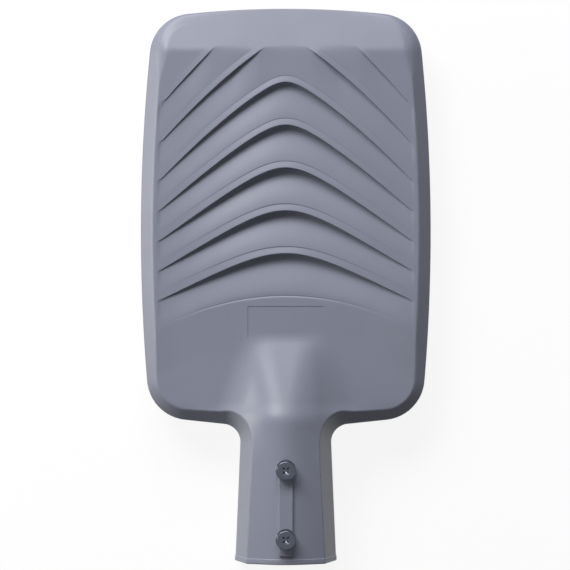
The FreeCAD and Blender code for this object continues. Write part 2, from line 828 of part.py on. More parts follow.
def housing():
    """The one-piece casting: its outer form, then the socket, the two chambers and the holes."""
    form = feature("casting_form", casting_form())
    boss = cylinder("boss", "sizes.boss_radius", "sizes.boss_height + 1")
    boss_places = driver_screw_places() + surge_screw_place() + [earth_place()]
    bosses = copies("bosses", boss, lifted(boss_places, value(boss_level)))
    underside = "-sizes.underside_depth"
    spaces = [
        rounded_block("frame_seat_space", f"2 * (sizes.chamber_half_width + {frame_border})",
                      f"{chamber_length} + 2 * {frame_border}", "sizes.screw_recess + sizes.frame_thickness",
                      f"sizes.chamber_corner + {frame_border}", chamber_y, underside),
        rounded_block("glass_seat_space", "2 * (sizes.chamber_half_width + sizes.glass_ledge)",
                      f"{chamber_length} + 2 * sizes.glass_ledge",
                      f"{glass_seat_level} + sizes.underside_depth",
                      "sizes.chamber_corner + sizes.glass_ledge", chamber_y, underside),
        rounded_block("chamber_space", "2 * sizes.chamber_half_width", chamber_length,
                      "sizes.underside_depth + sizes.chamber_ceiling", "sizes.chamber_corner",
                      chamber_y, underside),
        rounded_block("cover_seat_space", "2 * (sizes.bay_half_width + sizes.cover_ledge)",
                      f"{bay_length} + 2 * sizes.cover_ledge", f"{cover_seat_level} + sizes.underside_depth",
                      "sizes.bay_corner + sizes.cover_ledge", bay_y, underside),
        rounded_block("bay_space", "2 * sizes.bay_half_width", bay_length,
                      "sizes.underside_depth + sizes.bay_ceiling", "sizes.bay_corner", bay_y, underside),
    ]
    along_y = Vector(0, 1, 0)
    bores = [
        cylinder("socket_bore", "sizes.socket_radius", "sizes.socket_depth + 1", y="-1", along=along_y),
        cylinder("cable_space", "sizes.cable_space_radius", f"{bulkhead_rear_y} + 1", y="-1", along=along_y),
        cylinder("gland_hole", "sizes.gland_thread / 2 + sizes.thread_clearance",
                 f"sizes.bay_rear_y - {bulkhead_rear_y} + 2", y=f"{bulkhead_rear_y} - 1",
                 z="-sizes.gland_drop", along=along_y),
        cylinder("lead_hole", "sizes.grommet_radius", "sizes.chamber_rear_y - sizes.bay_front_y + 2",
                 x="sizes.lead_run_x", y="sizes.bay_front_y - 1", z="-sizes.lead_drop", along=along_y),
    ]
    clamp_places = [(0, size("front_clamp_y")), (0, size("rear_clamp_y"))]
    grip = "sizes.screw_grip + 1"
    screw_holes = [
        hole_copies("clamp_holes", "sizes.clamp_thread / 2 + sizes.thread_clearance",
                    "sizes.crest_level + sizes.rib_height", lifted(clamp_places, 0)),
        hole_copies("frame_holes", hole_radius, grip,
                    lifted(frame_screw_places(), value(frame_outer_level))),
        hole_copies("cover_holes", hole_radius, grip,
                    lifted(cover_screw_places(), value(cover_outer_level))),
        hole_copies("board_holes", hole_radius, "sizes.board_grip + sizes.hole_overrun",
                    lifted(board_screw_places(), value(lens_face_level))),
        hole_copies("boss_holes", hole_radius, "sizes.boss_grip + sizes.hole_overrun",
                    lifted(boss_places, value(ear_level))),
        hole_copies("block_hole", hole_radius, "sizes.block_grip + sizes.hole_overrun",
                    lifted([terminal_middle()], value(block_screw_level))),
    ]
    hollow = without("hollow_casting", form, *spaces)
    bossed = joined("bossed_casting", hollow, bosses)
    subpart("housing", without("casting", bossed, *bores, *screw_holes))


def terminal_middle():
    """Plan middle of the terminal block."""
    return value("sizes.terminal_start_x + sizes.terminal_length / 2"), size("terminal_y")


def clamp_parts():
    """The two pole clamp screws with their washers, on the spigot's rib."""
    rib_top = value("sizes.crest_level + sizes.rib_height")
    washer_top = "(sizes.crest_level + sizes.rib_height + sizes.clamp_washer_thickness)"
    places = [(0, size("front_clamp_y")), (0, size("rear_clamp_y"))]
    length = f"{washer_top} - sizes.socket_radius - sizes.seat_clearance"
    screw = pan_screw("clamp_screw", "sizes.clamp_thread", length, "sizes.clamp_head",
                      "sizes.clamp_head_height")
    screw.Placement = Placement(Vector(0, 0, 0), Rotation(Vector(1, 0, 0), 180))
    top = "sizes.clamp_head_height"
    arm = "0.58 * sizes.clamp_head"
    slot = "0.13 * sizes.clamp_head"
    depth = "0.45 * sizes.clamp_head_height"
    bars = [
        box("recess_across", arm, slot, depth, f"-({arm}) / 2", f"-({slot}) / 2", f"{top} - {depth}"),
        box("recess_along", slot, arm, depth, f"-({slot}) / 2", f"-({arm}) / 2", f"{top} - {depth}"),
    ]
    crossed = without("crossed_clamp_screw", screw, *bars)
    subpart("clamp_screws", copies("clamp_screw_pair", crossed, lifted(places, value(washer_top))))
    disc = cylinder("washer_disc", "sizes.clamp_washer / 2", "sizes.clamp_washer_thickness")
    eye = cylinder("washer_eye", "sizes.clamp_thread / 2 + sizes.thread_clearance",
                   "sizes.clamp_washer_thickness")
    washer = without("clamp_washer_one", disc, eye)
    subpart("clamp_washers", copies("clamp_washer_pair", washer, lifted(places, rib_top)))


def small_screws(name, places, level, grip):
    """A group of like pan head screws that point up from a level."""
    screw = pan_screw(name + "_one", "sizes.screw_thread", grip, "sizes.screw_head",
                      "sizes.screw_head_height")
    subpart(name, copies(name + "_group", screw, lifted(places, value(level))))


def lamp_window():
    """Glass, its gasket under the seat, and the pressed frame with its screws."""
    glass_gap = "sizes.seat_clearance"
    glass = rounded_block(
        "glass_body", f"2 * (sizes.chamber_half_width + sizes.glass_ledge - {glass_gap})",
        f"{chamber_length} + 2 * (sizes.glass_ledge - {glass_gap})", "sizes.glass_thickness",
        f"sizes.chamber_corner + sizes.glass_ledge - {glass_gap}", chamber_y, frame_seat_level)
    subpart("lamp_glass", glass)
    ring = rounded_block(
        "gasket_outer", f"2 * (sizes.chamber_half_width + sizes.glass_ledge - {glass_gap})",
        f"{chamber_length} + 2 * (sizes.glass_ledge - {glass_gap})", "sizes.gasket_thickness",
        f"sizes.chamber_corner + sizes.glass_ledge - {glass_gap}", chamber_y,
        f"{frame_seat_level} + sizes.glass_thickness")
    inside = rounded_block(
        "gasket_inner", "2 * sizes.chamber_half_width", chamber_length, "sizes.gasket_thickness",
        "sizes.chamber_corner", chamber_y, f"{frame_seat_level} + sizes.glass_thickness")
    subpart("glass_gasket", without("gasket_ring", ring, inside))
    plate = rounded_block(
        "frame_outer", f"2 * (sizes.chamber_half_width + {frame_border} - sizes.seat_clearance)",
        f"{chamber_length} + 2 * ({frame_border} - sizes.seat_clearance)", "sizes.frame_thickness",
        f"sizes.chamber_corner + {frame_border} - sizes.seat_clearance", chamber_y, frame_outer_level)
    window = rounded_block(
        "frame_window", "2 * sizes.chamber_half_width", chamber_length, "sizes.frame_thickness",
        "sizes.chamber_corner", chamber_y, frame_outer_level)
    holes = hole_copies("frame_eyes", hole_radius, "sizes.frame_thickness",
                        lifted(frame_screw_places(), value(frame_outer_level)))
    subpart("glass_frame", without("frame_ring", plate, window, holes))
    small_screws("frame_screws", frame_screw_places(), frame_outer_level, "sizes.screw_grip")


def lamp_engine():
    """Thermal pad, board, LED packages and the moulded lens plate, stacked on the ceiling."""
    pad = rounded_block("pad_body", f"2 * {board_half_width}", board_length, "sizes.pad_thickness",
                        "sizes.chamber_corner / 3", board_y, "sizes.chamber_ceiling - sizes.pad_thickness")
    pad_holes = hole_copies("pad_eyes", hole_radius, "sizes.pad_thickness", lifted(
        board_screw_places(), value("sizes.chamber_ceiling - sizes.pad_thickness")))
    subpart("thermal_pad", without("pad_sheet", pad, pad_holes))
    board = rounded_block("board_body", f"2 * {board_half_width}", board_length, "sizes.board_thickness",
                          "sizes.chamber_corner / 3", board_y, board_face_level)
    board_holes = hole_copies("board_eyes", hole_radius, "sizes.board_thickness", lifted(
        board_screw_places(), value(board_face_level)))
    subpart("led_board", without("board_sheet", board, board_holes))
    pitch = size("lens_pitch")
    columns, rows = int(size("lens_columns")), int(size("lens_rows"))
    places = []
    for column in range(columns):
        for row in range(rows):
            x = (column - (columns - 1) / 2) * pitch
            y = value(lens_y) + (row - (rows - 1) / 2) * pitch
            places.append((x, y))
    chip = box("chip", "sizes.chip_side", "sizes.chip_side", "sizes.chip_height",
               "-sizes.chip_side / 2", "-sizes.chip_side / 2", "-sizes.chip_height")
    subpart("led_chips", copies("chips", chip, lifted(places, value(board_face_level))))
    plate = rounded_block(
        "lens_body", f"2 * {board_half_width}", lens_length, "sizes.lens_plate_thickness",
        "sizes.chamber_corner / 3", lens_y, lens_face_level)
    hollow = rounded_block(
        "lens_hollow", f"2 * ({board_half_width} - sizes.lens_rim)", f"{lens_length} - 2 * sizes.lens_rim",
        "sizes.lens_plate_thickness - sizes.lens_wall", "sizes.chamber_corner / 3", lens_y,
        f"{lens_face_level} + sizes.lens_wall")
    eyes = hole_copies("lens_eyes", hole_radius, "sizes.lens_plate_thickness", lifted(
        board_screw_places(), value(lens_face_level)))
    ball_radius = "(sizes.lens_radius^2 + sizes.lens_height^2) / (2 * sizes.lens_height)"
    cap = doc.addObject("Part::Sphere", "lens_cap")
    sunk = f"({ball_radius}) - sizes.lens_height"
    bind(cap, Radius=ball_radius, Angle2=f"-asin(({sunk}) / ({ball_radius}))")
    at(cap, z=sunk)
    caps = copies("lens_caps", cap, lifted(places, value(lens_face_level)))
    subpart("lens_plate", joined("lens_moulding", without("lens_tray", plate, hollow, eyes), caps))
    small_screws("board_screws", board_screw_places(), lens_face_level, "sizes.board_grip")


def bay_cover():
    """Cover plate of the driver bay with its gasket, screws and pressure vent."""
    gap = "sizes.seat_clearance"
    plate = rounded_block(
        "cover_body", f"2 * (sizes.bay_half_width + sizes.cover_ledge - {gap})",
        f"{bay_length} + 2 * (sizes.cover_ledge - {gap})", "sizes.cover_thickness",
        f"sizes.bay_corner + sizes.cover_ledge - {gap}", bay_y, cover_outer_level)
    eyes = hole_copies("cover_eyes", hole_radius, "sizes.cover_thickness", lifted(
        cover_screw_places(), value(cover_outer_level)))
    vent_eye = cylinder("vent_eye", "sizes.vent_thread / 2 + sizes.thread_clearance",
                        "sizes.cover_thickness", "sizes.vent_x", "sizes.vent_y", cover_outer_level)
    subpart("driver_cover", without("cover_plate", plate, eyes, vent_eye))
    ring = rounded_block(
        "cover_gasket_outer", f"2 * (sizes.bay_half_width + sizes.cover_ledge - {gap})",
        f"{bay_length} + 2 * (sizes.cover_ledge - {gap})", "sizes.gasket_thickness",
        f"sizes.bay_corner + sizes.cover_ledge - {gap}", bay_y, cover_inner_level)
    inside = rounded_block("cover_gasket_inner", "2 * sizes.bay_half_width", bay_length,
                           "sizes.gasket_thickness", "sizes.bay_corner", bay_y, cover_inner_level)
    gasket_eyes = hole_copies("cover_gasket_eyes", hole_radius, "sizes.gasket_thickness", lifted(
        cover_screw_places(), value(cover_inner_level)))
    subpart("cover_gasket", without("cover_gasket_ring", ring, inside, gasket_eyes))
    small_screws("cover_screws", cover_screw_places(), cover_outer_level, "sizes.screw_grip")
    vent = turned("vent_body", [
        ("0", "-sizes.screw_recess + sizes.seat_clearance"),
        ("0.4 * sizes.vent_head", "-sizes.screw_recess + sizes.seat_clearance"),
        ("sizes.vent_head / 2", "-0.5 * sizes.screw_recess"),
        ("sizes.vent_head / 2", "0"),
        ("sizes.vent_thread / 2", "0"),
        ("sizes.vent_thread / 2", "sizes.vent_depth"),
        ("0", "sizes.vent_depth"),
    ])
    subpart("breather_vent", at(vent, "sizes.vent_x", "sizes.vent_y", cover_outer_level))


def driver_parts():
    """The potted driver with its two ears, on the bosses of the bay's ceiling."""
    case = box("driver_case", "sizes.driver_length", "sizes.driver_width", "sizes.driver_height",
               f"sizes.driver_middle_x - {driver_end}", f"{driver_y} - sizes.driver_width / 2",
               "sizes.bay_ceiling - sizes.driver_height")
    ears = box("driver_ears", "sizes.driver_length + 2 * sizes.driver_ear", "sizes.driver_width",
               "sizes.ear_thickness", f"sizes.driver_middle_x - {driver_end} - sizes.driver_ear",
               f"{driver_y} - sizes.driver_width / 2", ear_level)
    eyes = hole_copies("driver_eyes", hole_radius, "sizes.ear_thickness", lifted(
        driver_screw_places(), value(ear_level)))
    subpart("led_driver", without("driver_unit", joined("driver_shell", case, ears), eyes))
    small_screws("driver_screws", driver_screw_places(), ear_level, "sizes.boss_grip")


def surge_parts():
    """The surge protection block with one ear."""
    low_y = "sizes.terminal_y - sizes.surge_width / 2"
    case = box("surge_case", "sizes.surge_length", "sizes.surge_width", "sizes.surge_height",
               "sizes.surge_end_x - sizes.surge_length", low_y, "sizes.bay_ceiling - sizes.surge_height")
    ear = box("surge_ear", "sizes.surge_length + sizes.driver_ear", "sizes.surge_width",
              "sizes.ear_thickness", "sizes.surge_end_x - sizes.surge_length - sizes.driver_ear",
              low_y, ear_level)
    eye = hole_copies("surge_eye", hole_radius, "sizes.ear_thickness", lifted(
        surge_screw_place(), value(ear_level)))
    subpart("surge_protector", without("surge_unit", joined("surge_shell", case, ear), eye))
    small_screws("surge_screw", surge_screw_place(), ear_level, "sizes.boss_grip")


def terminal_parts():
    """The three-way mains terminal block, held by one long screw."""
    case = box("terminal_case", "sizes.terminal_length", "sizes.terminal_width", "sizes.terminal_height",
               "sizes.terminal_start_x", "sizes.terminal_y - sizes.terminal_width / 2",
               "sizes.bay_ceiling - sizes.terminal_height")
    middle_x, middle_y = terminal_middle()
    low = value("sizes.bay_ceiling - sizes.terminal_height")
    middle = lifted([(middle_x, middle_y)], low)
    shaft = hole_copies("block_shaft", hole_radius, "sizes.terminal_height", middle)
    counterbore = cylinder("block_counterbore", "sizes.screw_head / 2 + sizes.seat_clearance",
                           "sizes.terminal_height - sizes.block_grip + sizes.block_bite",
                           f"{middle_x}", f"{middle_y}", f"{low}")
    wells = []
    for place in range(3):
        x = middle_x + (place - 1) * value("sizes.terminal_length / 3")
        wells.append((x, middle_y - value("sizes.terminal_width / 3.2")))
    well_holes = hole_copies("terminal_wells", "sizes.screw_thread / 2 + sizes.seat_clearance",
                             "sizes.terminal_height / 2", lifted(wells, low))
    subpart("terminal_block", without("terminal_unit", case, shaft, counterbore, well_holes))
    pin = cylinder("terminal_screw_one", "sizes.screw_thread / 2", "sizes.terminal_height / 2 - 1", z="1")
    subpart("terminal_screws", copies("terminal_screw_group", pin, lifted(wells, low)))
    screw = pan_screw("block_screw_one", "sizes.screw_thread", "sizes.block_grip", "sizes.screw_head",
                      "sizes.screw_head_height")
    subpart("block_screw", at(screw, f"{middle_x}", f"{middle_y}", block_screw_level))


def gland_parts():
    """The cable gland in the bulkhead: body, locknut in the bay, seal and cap on the pole side."""
    along_y = Vector(0, 1, 0)
    z = "-sizes.gland_drop"
    hex_rear = f"({bulkhead_rear_y} - sizes.gland_hex_length)"
    thread_end = "(sizes.bay_rear_y + sizes.gland_nut_length + 2)"
    cap_rear = f"({hex_rear} - sizes.gland_cap_length)"
    throat_radius = "(sizes.gland_thread / 2 - sizes.gland_throat_step)"
    collar = hexagon("gland_collar", "sizes.gland_spanner", "sizes.gland_hex_length", "0", hex_rear, z)
    stem = cylinder("gland_stem", "sizes.gland_thread / 2", f"{thread_end} - {hex_rear}",
                    "0", hex_rear, z, along_y)
    throat = cylinder("gland_throat", throat_radius, "sizes.gland_cap_length / 2",
                      "0", f"{hex_rear} - sizes.gland_cap_length / 2", z, along_y)
    passage = cylinder("gland_passage", "sizes.gland_bore", f"{thread_end} - {cap_rear}",
                       "0", cap_rear, z, along_y)
    body = joined("gland_solid", collar, stem, throat)
    subpart("gland_body", without("gland_bored", body, passage))
    nut = hexagon("locknut_blank", "sizes.gland_spanner", "sizes.gland_nut_length",
                  "0", "sizes.bay_rear_y", z)
    nut_eye = cylinder("locknut_eye", "sizes.gland_thread / 2 + sizes.thread_clearance",
                       "sizes.gland_nut_length", "0", "sizes.bay_rear_y", z, along_y)
    subpart("gland_locknut", without("locknut", nut, nut_eye))
    wall = "sizes.gland_cap_wall"
    shell = cylinder("cap_shell", "sizes.gland_spanner / 2", "sizes.gland_cap_length",
                     "0", cap_rear, z, along_y)
    room = cylinder("cap_room", f"{throat_radius} + sizes.thread_clearance",
                    f"sizes.gland_cap_length - {wall}", "0", f"{cap_rear} + {wall}", z, along_y)
    mouth = cylinder("cap_mouth", "sizes.gland_bore", wall, "0", cap_rear, z, along_y)
    subpart("gland_cap", without("cap_bored", shell, room, mouth))
    seal_length = f"(sizes.gland_cap_length / 2 - {wall})"
    ring = cylinder("seal_ring", throat_radius, seal_length, "0", f"{cap_rear} + {wall}", z, along_y)
    eye = cylinder("seal_eye", "sizes.gland_bore", seal_length, "0", f"{cap_rear} + {wall}", z, along_y)
    subpart("gland_seal", without("seal_bored", ring, eye))


def grommet():
    """The flanged rubber sleeve in the wall between the bay and the chamber."""
    along_y = Vector(0, 1, 0)
    x, z = "sizes.lead_run_x", "-sizes.lead_drop"
    flange_y = "(sizes.bay_front_y - sizes.grommet_flange)"
    length = f"(sizes.chamber_rear_y - {flange_y})"
    flange = cylinder("grommet_rim", "sizes.grommet_radius + sizes.grommet_flange", "sizes.grommet_flange",
                      x, flange_y, z, along_y)
    sleeve = cylinder("grommet_sleeve", "sizes.grommet_radius - sizes.thread_clearance", length,
                      x, flange_y, z, along_y)
    eye = cylinder("grommet_eye", "sizes.grommet_radius - sizes.grommet_wall", length,
                   x, flange_y, z, along_y)
    subpart("wire_grommet", without("grommet_bored", joined("grommet_solid", flange, sleeve), eye))


def earth_parts():
    """The earth point: screw and washer on a boss."""
    x, y = (f"{place}" for place in earth_place())
    low = ear_level
    disc = cylinder("earth_disc", earth_ring_radius, "sizes.ear_thickness", x, y, low)
    eye = cylinder("earth_eye", hole_radius, "sizes.ear_thickness", x, y, low)
    subpart("earth_washer", without("earth_ring", disc, eye))
    screw = pan_screw("earth_screw_one", "sizes.screw_thread", "sizes.boss_grip", "sizes.screw_head",
                      "sizes.screw_head_height")
    subpart("earth_screw", at(screw, x, y, low))


def lead_path(points):
    """Straight runs joined by tangent arcs, and the radii of the arcs."""
    edges, radii = [], []
    start = points[0]
    for before, corner, after in zip(points, points[1:], points[2:]):
        into = (corner - before).normalize()
        out = (after - corner).normalize()
        turn = into.getAngle(out)
        shorter = min((corner - before).Length, (after - corner).Length)
        reach = 0.45 * shorter
        radius = reach / tan(turn / 2)
        arc_start = corner - into * reach
        arc_end = corner + out * reach
        towards = (out - into).normalize()
        middle = corner + towards * (radius / cos(turn / 2) - radius)
        edges.append(Part.LineSegment(start, arc_start).toShape())
        edges.append(Part.Arc(arc_start, middle, arc_end).toShape())
        radii.append(radius)
        start = arc_end
    edges.append(Part.LineSegment(start, points[-1]).toShape())
    return Part.Wire(edges), radii


def lead(points):
    """One insulated lead: a round tube along its path, checked against section times length."""
    path, radii = lead_path(points)
    radius = size("lead_diameter") / 2
    ring = Part.Wire(Part.makeCircle(radius, points[0], points[1] - points[0]))
    solid = path.makePipeShell([ring], True, False)
    expected = pi * radius**2 * path.Length
    if abs(solid.Volume - expected) > 0.01 * expected:
        raise RuntimeError(f"lead volume {solid.Volume:.1f} is not {expected:.1f}")
    print("lead of", round(path.Length), "mm, bend radii", [round(bend, 1) for bend in radii])
    return solid


def inner_leads():
    """The short leads that join the terminal block, surge block, driver and lamp board."""
    spacing = size("lead_spacing")
    z = -size("lead_drop")
    driver_left = value(f"sizes.driver_middle_x - {driver_end}")
    driver_right = value(f"sizes.driver_middle_x + {driver_end}")
    plug_y = value(f"{board_y} - {board_length} / 2") + size("plug_inset")
    lamp = []
    for side in (-0.5, 0.5):
        x = size("lead_run_x") + side * spacing
        y = value(driver_y) + side * spacing
        lamp.append(lead([Vector(driver_left, y, z), Vector(x, y, z), Vector(x, plug_y, z)]))
    subpart("lamp_leads", feature("lamp_lead_pair", Part.makeCompound(lamp)))
    terminal_right = value("sizes.terminal_start_x + sizes.terminal_length")
    loop_x = driver_right + size("lead_loop")
    mains = []
    for side in (-0.5, 0.5):
        level = z + side * spacing
        mains.append(lead([
            Vector(driver_right, value(driver_y), level), Vector(loop_x, value(driver_y), level),
            Vector(loop_x, size("terminal_y"), level), Vector(terminal_right, size("terminal_y"), level)]))
    subpart("mains_leads", feature("mains_lead_pair", Part.makeCompound(mains)))
    surge = []
    for side in (-0.5, 0.5):
        y = size("terminal_y") + side * spacing + spacing / 2
        start = Vector(size("surge_end_x"), y, z)
        surge.append(lead([start, Vector(size("terminal_start_x"), y, z)]))
    subpart("surge_leads", feature("surge_lead_pair", Part.makeCompound(surge)))


def lamp_plug():
    """The small connector on the lamp board that takes the two lamp leads."""
    block = box("plug_case", "3 * sizes.lead_spacing", "sizes.connector_strip - 2 * sizes.plug_inset",
                f"{board_face_level} + sizes.lead_drop + sizes.lead_spacing",
                "sizes.lead_run_x - 1.5 * sizes.lead_spacing",
                f"{board_y} - {board_length} / 2 + sizes.plug_inset", "-sizes.lead_drop - sizes.lead_spacing")
    subpart("lamp_plug", block)


housing()
clamp_parts()
lamp_window()
lamp_engine()
bay_cover()
driver_parts()
surge_parts()
terminal_parts()
gland_parts()
grommet()
earth_parts()
inner_leads()
lamp_plug()
doc.recompute()

for item in doc.Objects:
    if "Invalid" in item.State or "Error" in item.State:
        raise RuntimeError(f"{item.Name} failed: {item.State}")
for name, item in subparts.items():
    if item.Shape.isNull() or not item.Shape.isValid():
        raise RuntimeError(f"{name} has no valid shape")
for name, item in subparts.items():
    item.Shape.exportStep(f"parts/{name}.step")
    print(name, len(item.Shape.Solids), "solid(s),", round(item.Shape.Volume), "mm3")
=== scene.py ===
from math import atan, radians

import bmesh
import bpy
import numpy as np
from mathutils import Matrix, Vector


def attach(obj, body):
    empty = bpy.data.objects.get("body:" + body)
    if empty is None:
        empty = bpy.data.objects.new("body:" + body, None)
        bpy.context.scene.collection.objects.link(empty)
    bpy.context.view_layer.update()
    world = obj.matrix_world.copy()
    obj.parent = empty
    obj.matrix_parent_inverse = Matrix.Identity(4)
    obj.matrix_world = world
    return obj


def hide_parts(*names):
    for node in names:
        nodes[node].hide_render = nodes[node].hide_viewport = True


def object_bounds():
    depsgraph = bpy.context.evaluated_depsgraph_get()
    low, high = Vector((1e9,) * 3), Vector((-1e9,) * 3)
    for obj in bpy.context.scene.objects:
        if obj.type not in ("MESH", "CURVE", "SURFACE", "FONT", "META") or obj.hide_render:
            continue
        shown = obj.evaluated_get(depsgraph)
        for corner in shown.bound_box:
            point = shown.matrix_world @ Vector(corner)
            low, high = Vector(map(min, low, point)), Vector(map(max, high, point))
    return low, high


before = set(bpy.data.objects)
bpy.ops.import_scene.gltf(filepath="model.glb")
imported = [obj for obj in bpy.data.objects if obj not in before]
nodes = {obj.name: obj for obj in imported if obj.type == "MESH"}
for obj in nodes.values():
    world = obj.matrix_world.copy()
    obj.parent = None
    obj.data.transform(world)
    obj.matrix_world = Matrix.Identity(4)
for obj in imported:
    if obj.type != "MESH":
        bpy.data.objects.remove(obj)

cad_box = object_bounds()


# Housing. One aluminium die casting: the louvred heat-shedding top, the walls and the spigot for
# the pole are a single piece. It is blasted and powder coated in a semi-gloss grey with a cast of
# blue, and the coat keeps a fine orange peel.
class Socket:
    """One output of a shader node. Arithmetic on it adds Math nodes to the same tree."""

    def __init__(self, output):
        self.output = output
        self.tree = output.id_data

    def node(self, kind, settings, inputs, output=0):
        """Adds a node to the tree: settings are set first, then sockets get values or links."""
        added = self.tree.nodes.new(kind)
        for name, value in settings.items():
            setattr(added, name, value)
        for name, value in inputs.items():
            if isinstance(value, Socket):
                self.tree.links.new(value.output, added.inputs[name])
            else:
                added.inputs[name].default_value = value
        return Socket(added.outputs[output]) if added.outputs else None

    def maths(self, operation, first, second):
        """A Math node on two values or links."""
        return self.node("ShaderNodeMath", {"operation": operation}, {0: first, 1: second})

    def __add__(self, other):
        return self.maths("ADD", self, other)

    __radd__ = __add__

    def __mul__(self, other):
        return self.maths("MULTIPLY", self, other)

    def noise(self, size, detail=2.0):
        """Soft clouds, 0 to 1, whose blotches are about size metres across."""
        return self.node("ShaderNodeTexNoise", {}, {"Vector": self, "Scale": 1 / size, "Detail": detail})

    def stepped(self, low, high):
        """0 below low and 1 above high, with a smooth rise between them."""
        return self.node("ShaderNodeMapRange", {"interpolation_type": "SMOOTHSTEP"},
                         {"Value": self, "From Min": low, "From Max": high})

    def mixed(self, first, second):
        """The colour first where this is 0 and second where it is 1, by the Mix node's colour sockets."""
        return self.node("ShaderNodeMix", {"data_type": "RGBA"}, {0: self, 6: first, 7: second}, 2)

    def bumped(self, height):
        """A normal from this as relief, height metres from its 0 to its 1."""
        return self.node("ShaderNodeBump", {}, {"Height": self, "Strength": 1.0, "Distance": height})


def colour(red, green, blue):
    """A scene colour from three screen numbers, 0 to 255, by the screen's standard curve."""
    share = np.array([red, green, blue]) / 255
    linear = np.where(share > 0.04045, ((share + 0.055) / 1.055) ** 2.4, share / 12.92)
    return (*linear.tolist(), 1.0)


def emptied_tree(owner):
    """The node tree of a new material or world, with nothing in it."""
    owner.use_nodes = True
    owner.node_tree.nodes.clear()
    return owner.node_tree


def finish(name, paint, **plain):
    """A material: plain values go straight to the shader, and paint(place) gives what varies."""
    material = bpy.data.materials.new(name)
    place = Socket(emptied_tree(material).nodes.new("ShaderNodeTexCoord").outputs["Object"])
    inputs = {socket.replace("_", " "): value for socket, value in plain.items()}
    inputs.update(paint(place))
    shader = place.node("ShaderNodeBsdfPrincipled", {}, inputs)
    shader.node("ShaderNodeOutputMaterial", {}, {"Surface": shader})
    return material


def dress(material, *names):
    """Gives CAD nodes their finish."""
    for name in names:
        mesh = nodes[name].data
        mesh.materials.clear()
        mesh.materials.append(material)


def powder_coat(place):
    """Grey-blue powder: faint clouds of tone, a fine fleck and an orange-peel skin."""
    clouds = place.noise(0.05).stepped(0.3, 0.7)
    fleck = place.noise(0.0006, 1.0).stepped(0.35, 0.75)
    body = clouds.mixed(colour(138, 141, 158), colour(142, 145, 162))
    return {
        "Base Color": (fleck * 0.25).mixed(body, colour(126, 130, 147)),
        "Roughness": 0.34 + fleck * 0.08,
        "Normal": place.noise(0.0022, 1.0).bumped(0.00003),
    }


coat = finish("powder_coat", powder_coat, Specular_IOR_Level=0.4)
dress(coat, "housing")

# The outline in plan, in millimetres from the middle of the spigot's mouth. Each piece is tangent to
# the next: arcs of nose, front corner, side and rear corner, the straight rear edge, the hollow
# corner's arc and the straight side of the neck.
head_length, widest_half, mouth_half_width = 441.4, 116, 40.35
side_radius, nose_radius = 1440, 760
front_radius, rear_radius, hollow_radius = 33.6, 34, 14.4
side_centre = np.array([widest_half - side_radius, 262.7])
nose_centre = np.array([0, head_length - nose_radius])
rear_middle = np.array([0, 103.9])
neck_taper, rear_tilt = radians(2.43), radians(6)
mouth_rounding = 0.8


def circle_crossing(first, first_radius, second, second_radius):
    """Where two circles cross, on the right: along their centre line, then square to it."""
    between = second - first
    distance = np.hypot(*between)
    along = (distance**2 + first_radius**2 - second_radius**2) / (2 * distance)
    aside = np.sqrt(first_radius**2 - along**2)
    square = np.array([-between[1], between[0]])
    ends = first + between * along / distance + np.outer([1, -1], square * aside / distance)
    return ends[np.argmax(ends[:, 0])]


def turn_to(place, centre):
    """The angle at which a place is seen from a centre."""
    return np.arctan2(*(place - centre)[::-1])


front_centre = circle_crossing(side_centre, side_radius - front_radius,
                               nose_centre, nose_radius - front_radius)
rear_way = np.array([np.cos(rear_tilt), np.sin(rear_tilt)])
rear_inward = np.array([-rear_way[1], rear_way[0]])
rear_start = rear_middle + rear_inward * rear_radius
nearest = rear_way @ (side_centre - rear_start)
side_gap = np.hypot(*(side_centre - rear_start - rear_way * nearest))
rear_centre = rear_start + rear_way * (nearest + np.sqrt((side_radius - rear_radius)**2 - side_gap**2))
neck_way = np.array([-np.sin(neck_taper), np.cos(neck_taper)])
neck_inward = np.array([-neck_way[1], neck_way[0]])
hollow_on_rear = rear_middle - rear_inward * hollow_radius
hollow_on_neck = np.array([mouth_half_width, 0]) - neck_inward * hollow_radius
reaches = np.linalg.solve(np.stack([rear_way, -neck_way], axis=1), hollow_on_neck - hollow_on_rear)
hollow_centre = hollow_on_rear + rear_way * reaches[0]
nose_turn = turn_to(front_centre, nose_centre)
side_turn = turn_to(front_centre, side_centre)
rear_turn = turn_to(rear_centre, side_centre)

# The seven pieces in that order. The two straight ones have zeros here.
arc_centres = np.array([nose_centre, front_centre, side_centre, rear_centre, [0, 0], hollow_centre, [0, 0]])
arc_radii = np.array([nose_radius, front_radius, side_radius, rear_radius, 0, hollow_radius, 0])
arc_inward = np.array([-1, -1, -1, -1, 0, 1, 0])
arc_starts = np.array([np.pi / 2, nose_turn, side_turn, rear_turn, 0, np.pi / 2 + rear_tilt, 0])
arc_ends = np.array([nose_turn, side_turn, rear_turn, rear_tilt - np.pi / 2, 0, np.pi + neck_taper, 0])
front_piece, side_piece, rear_piece, hollow_piece, neck_piece, outline_end = 1, 2, 4, 5, 6, 7


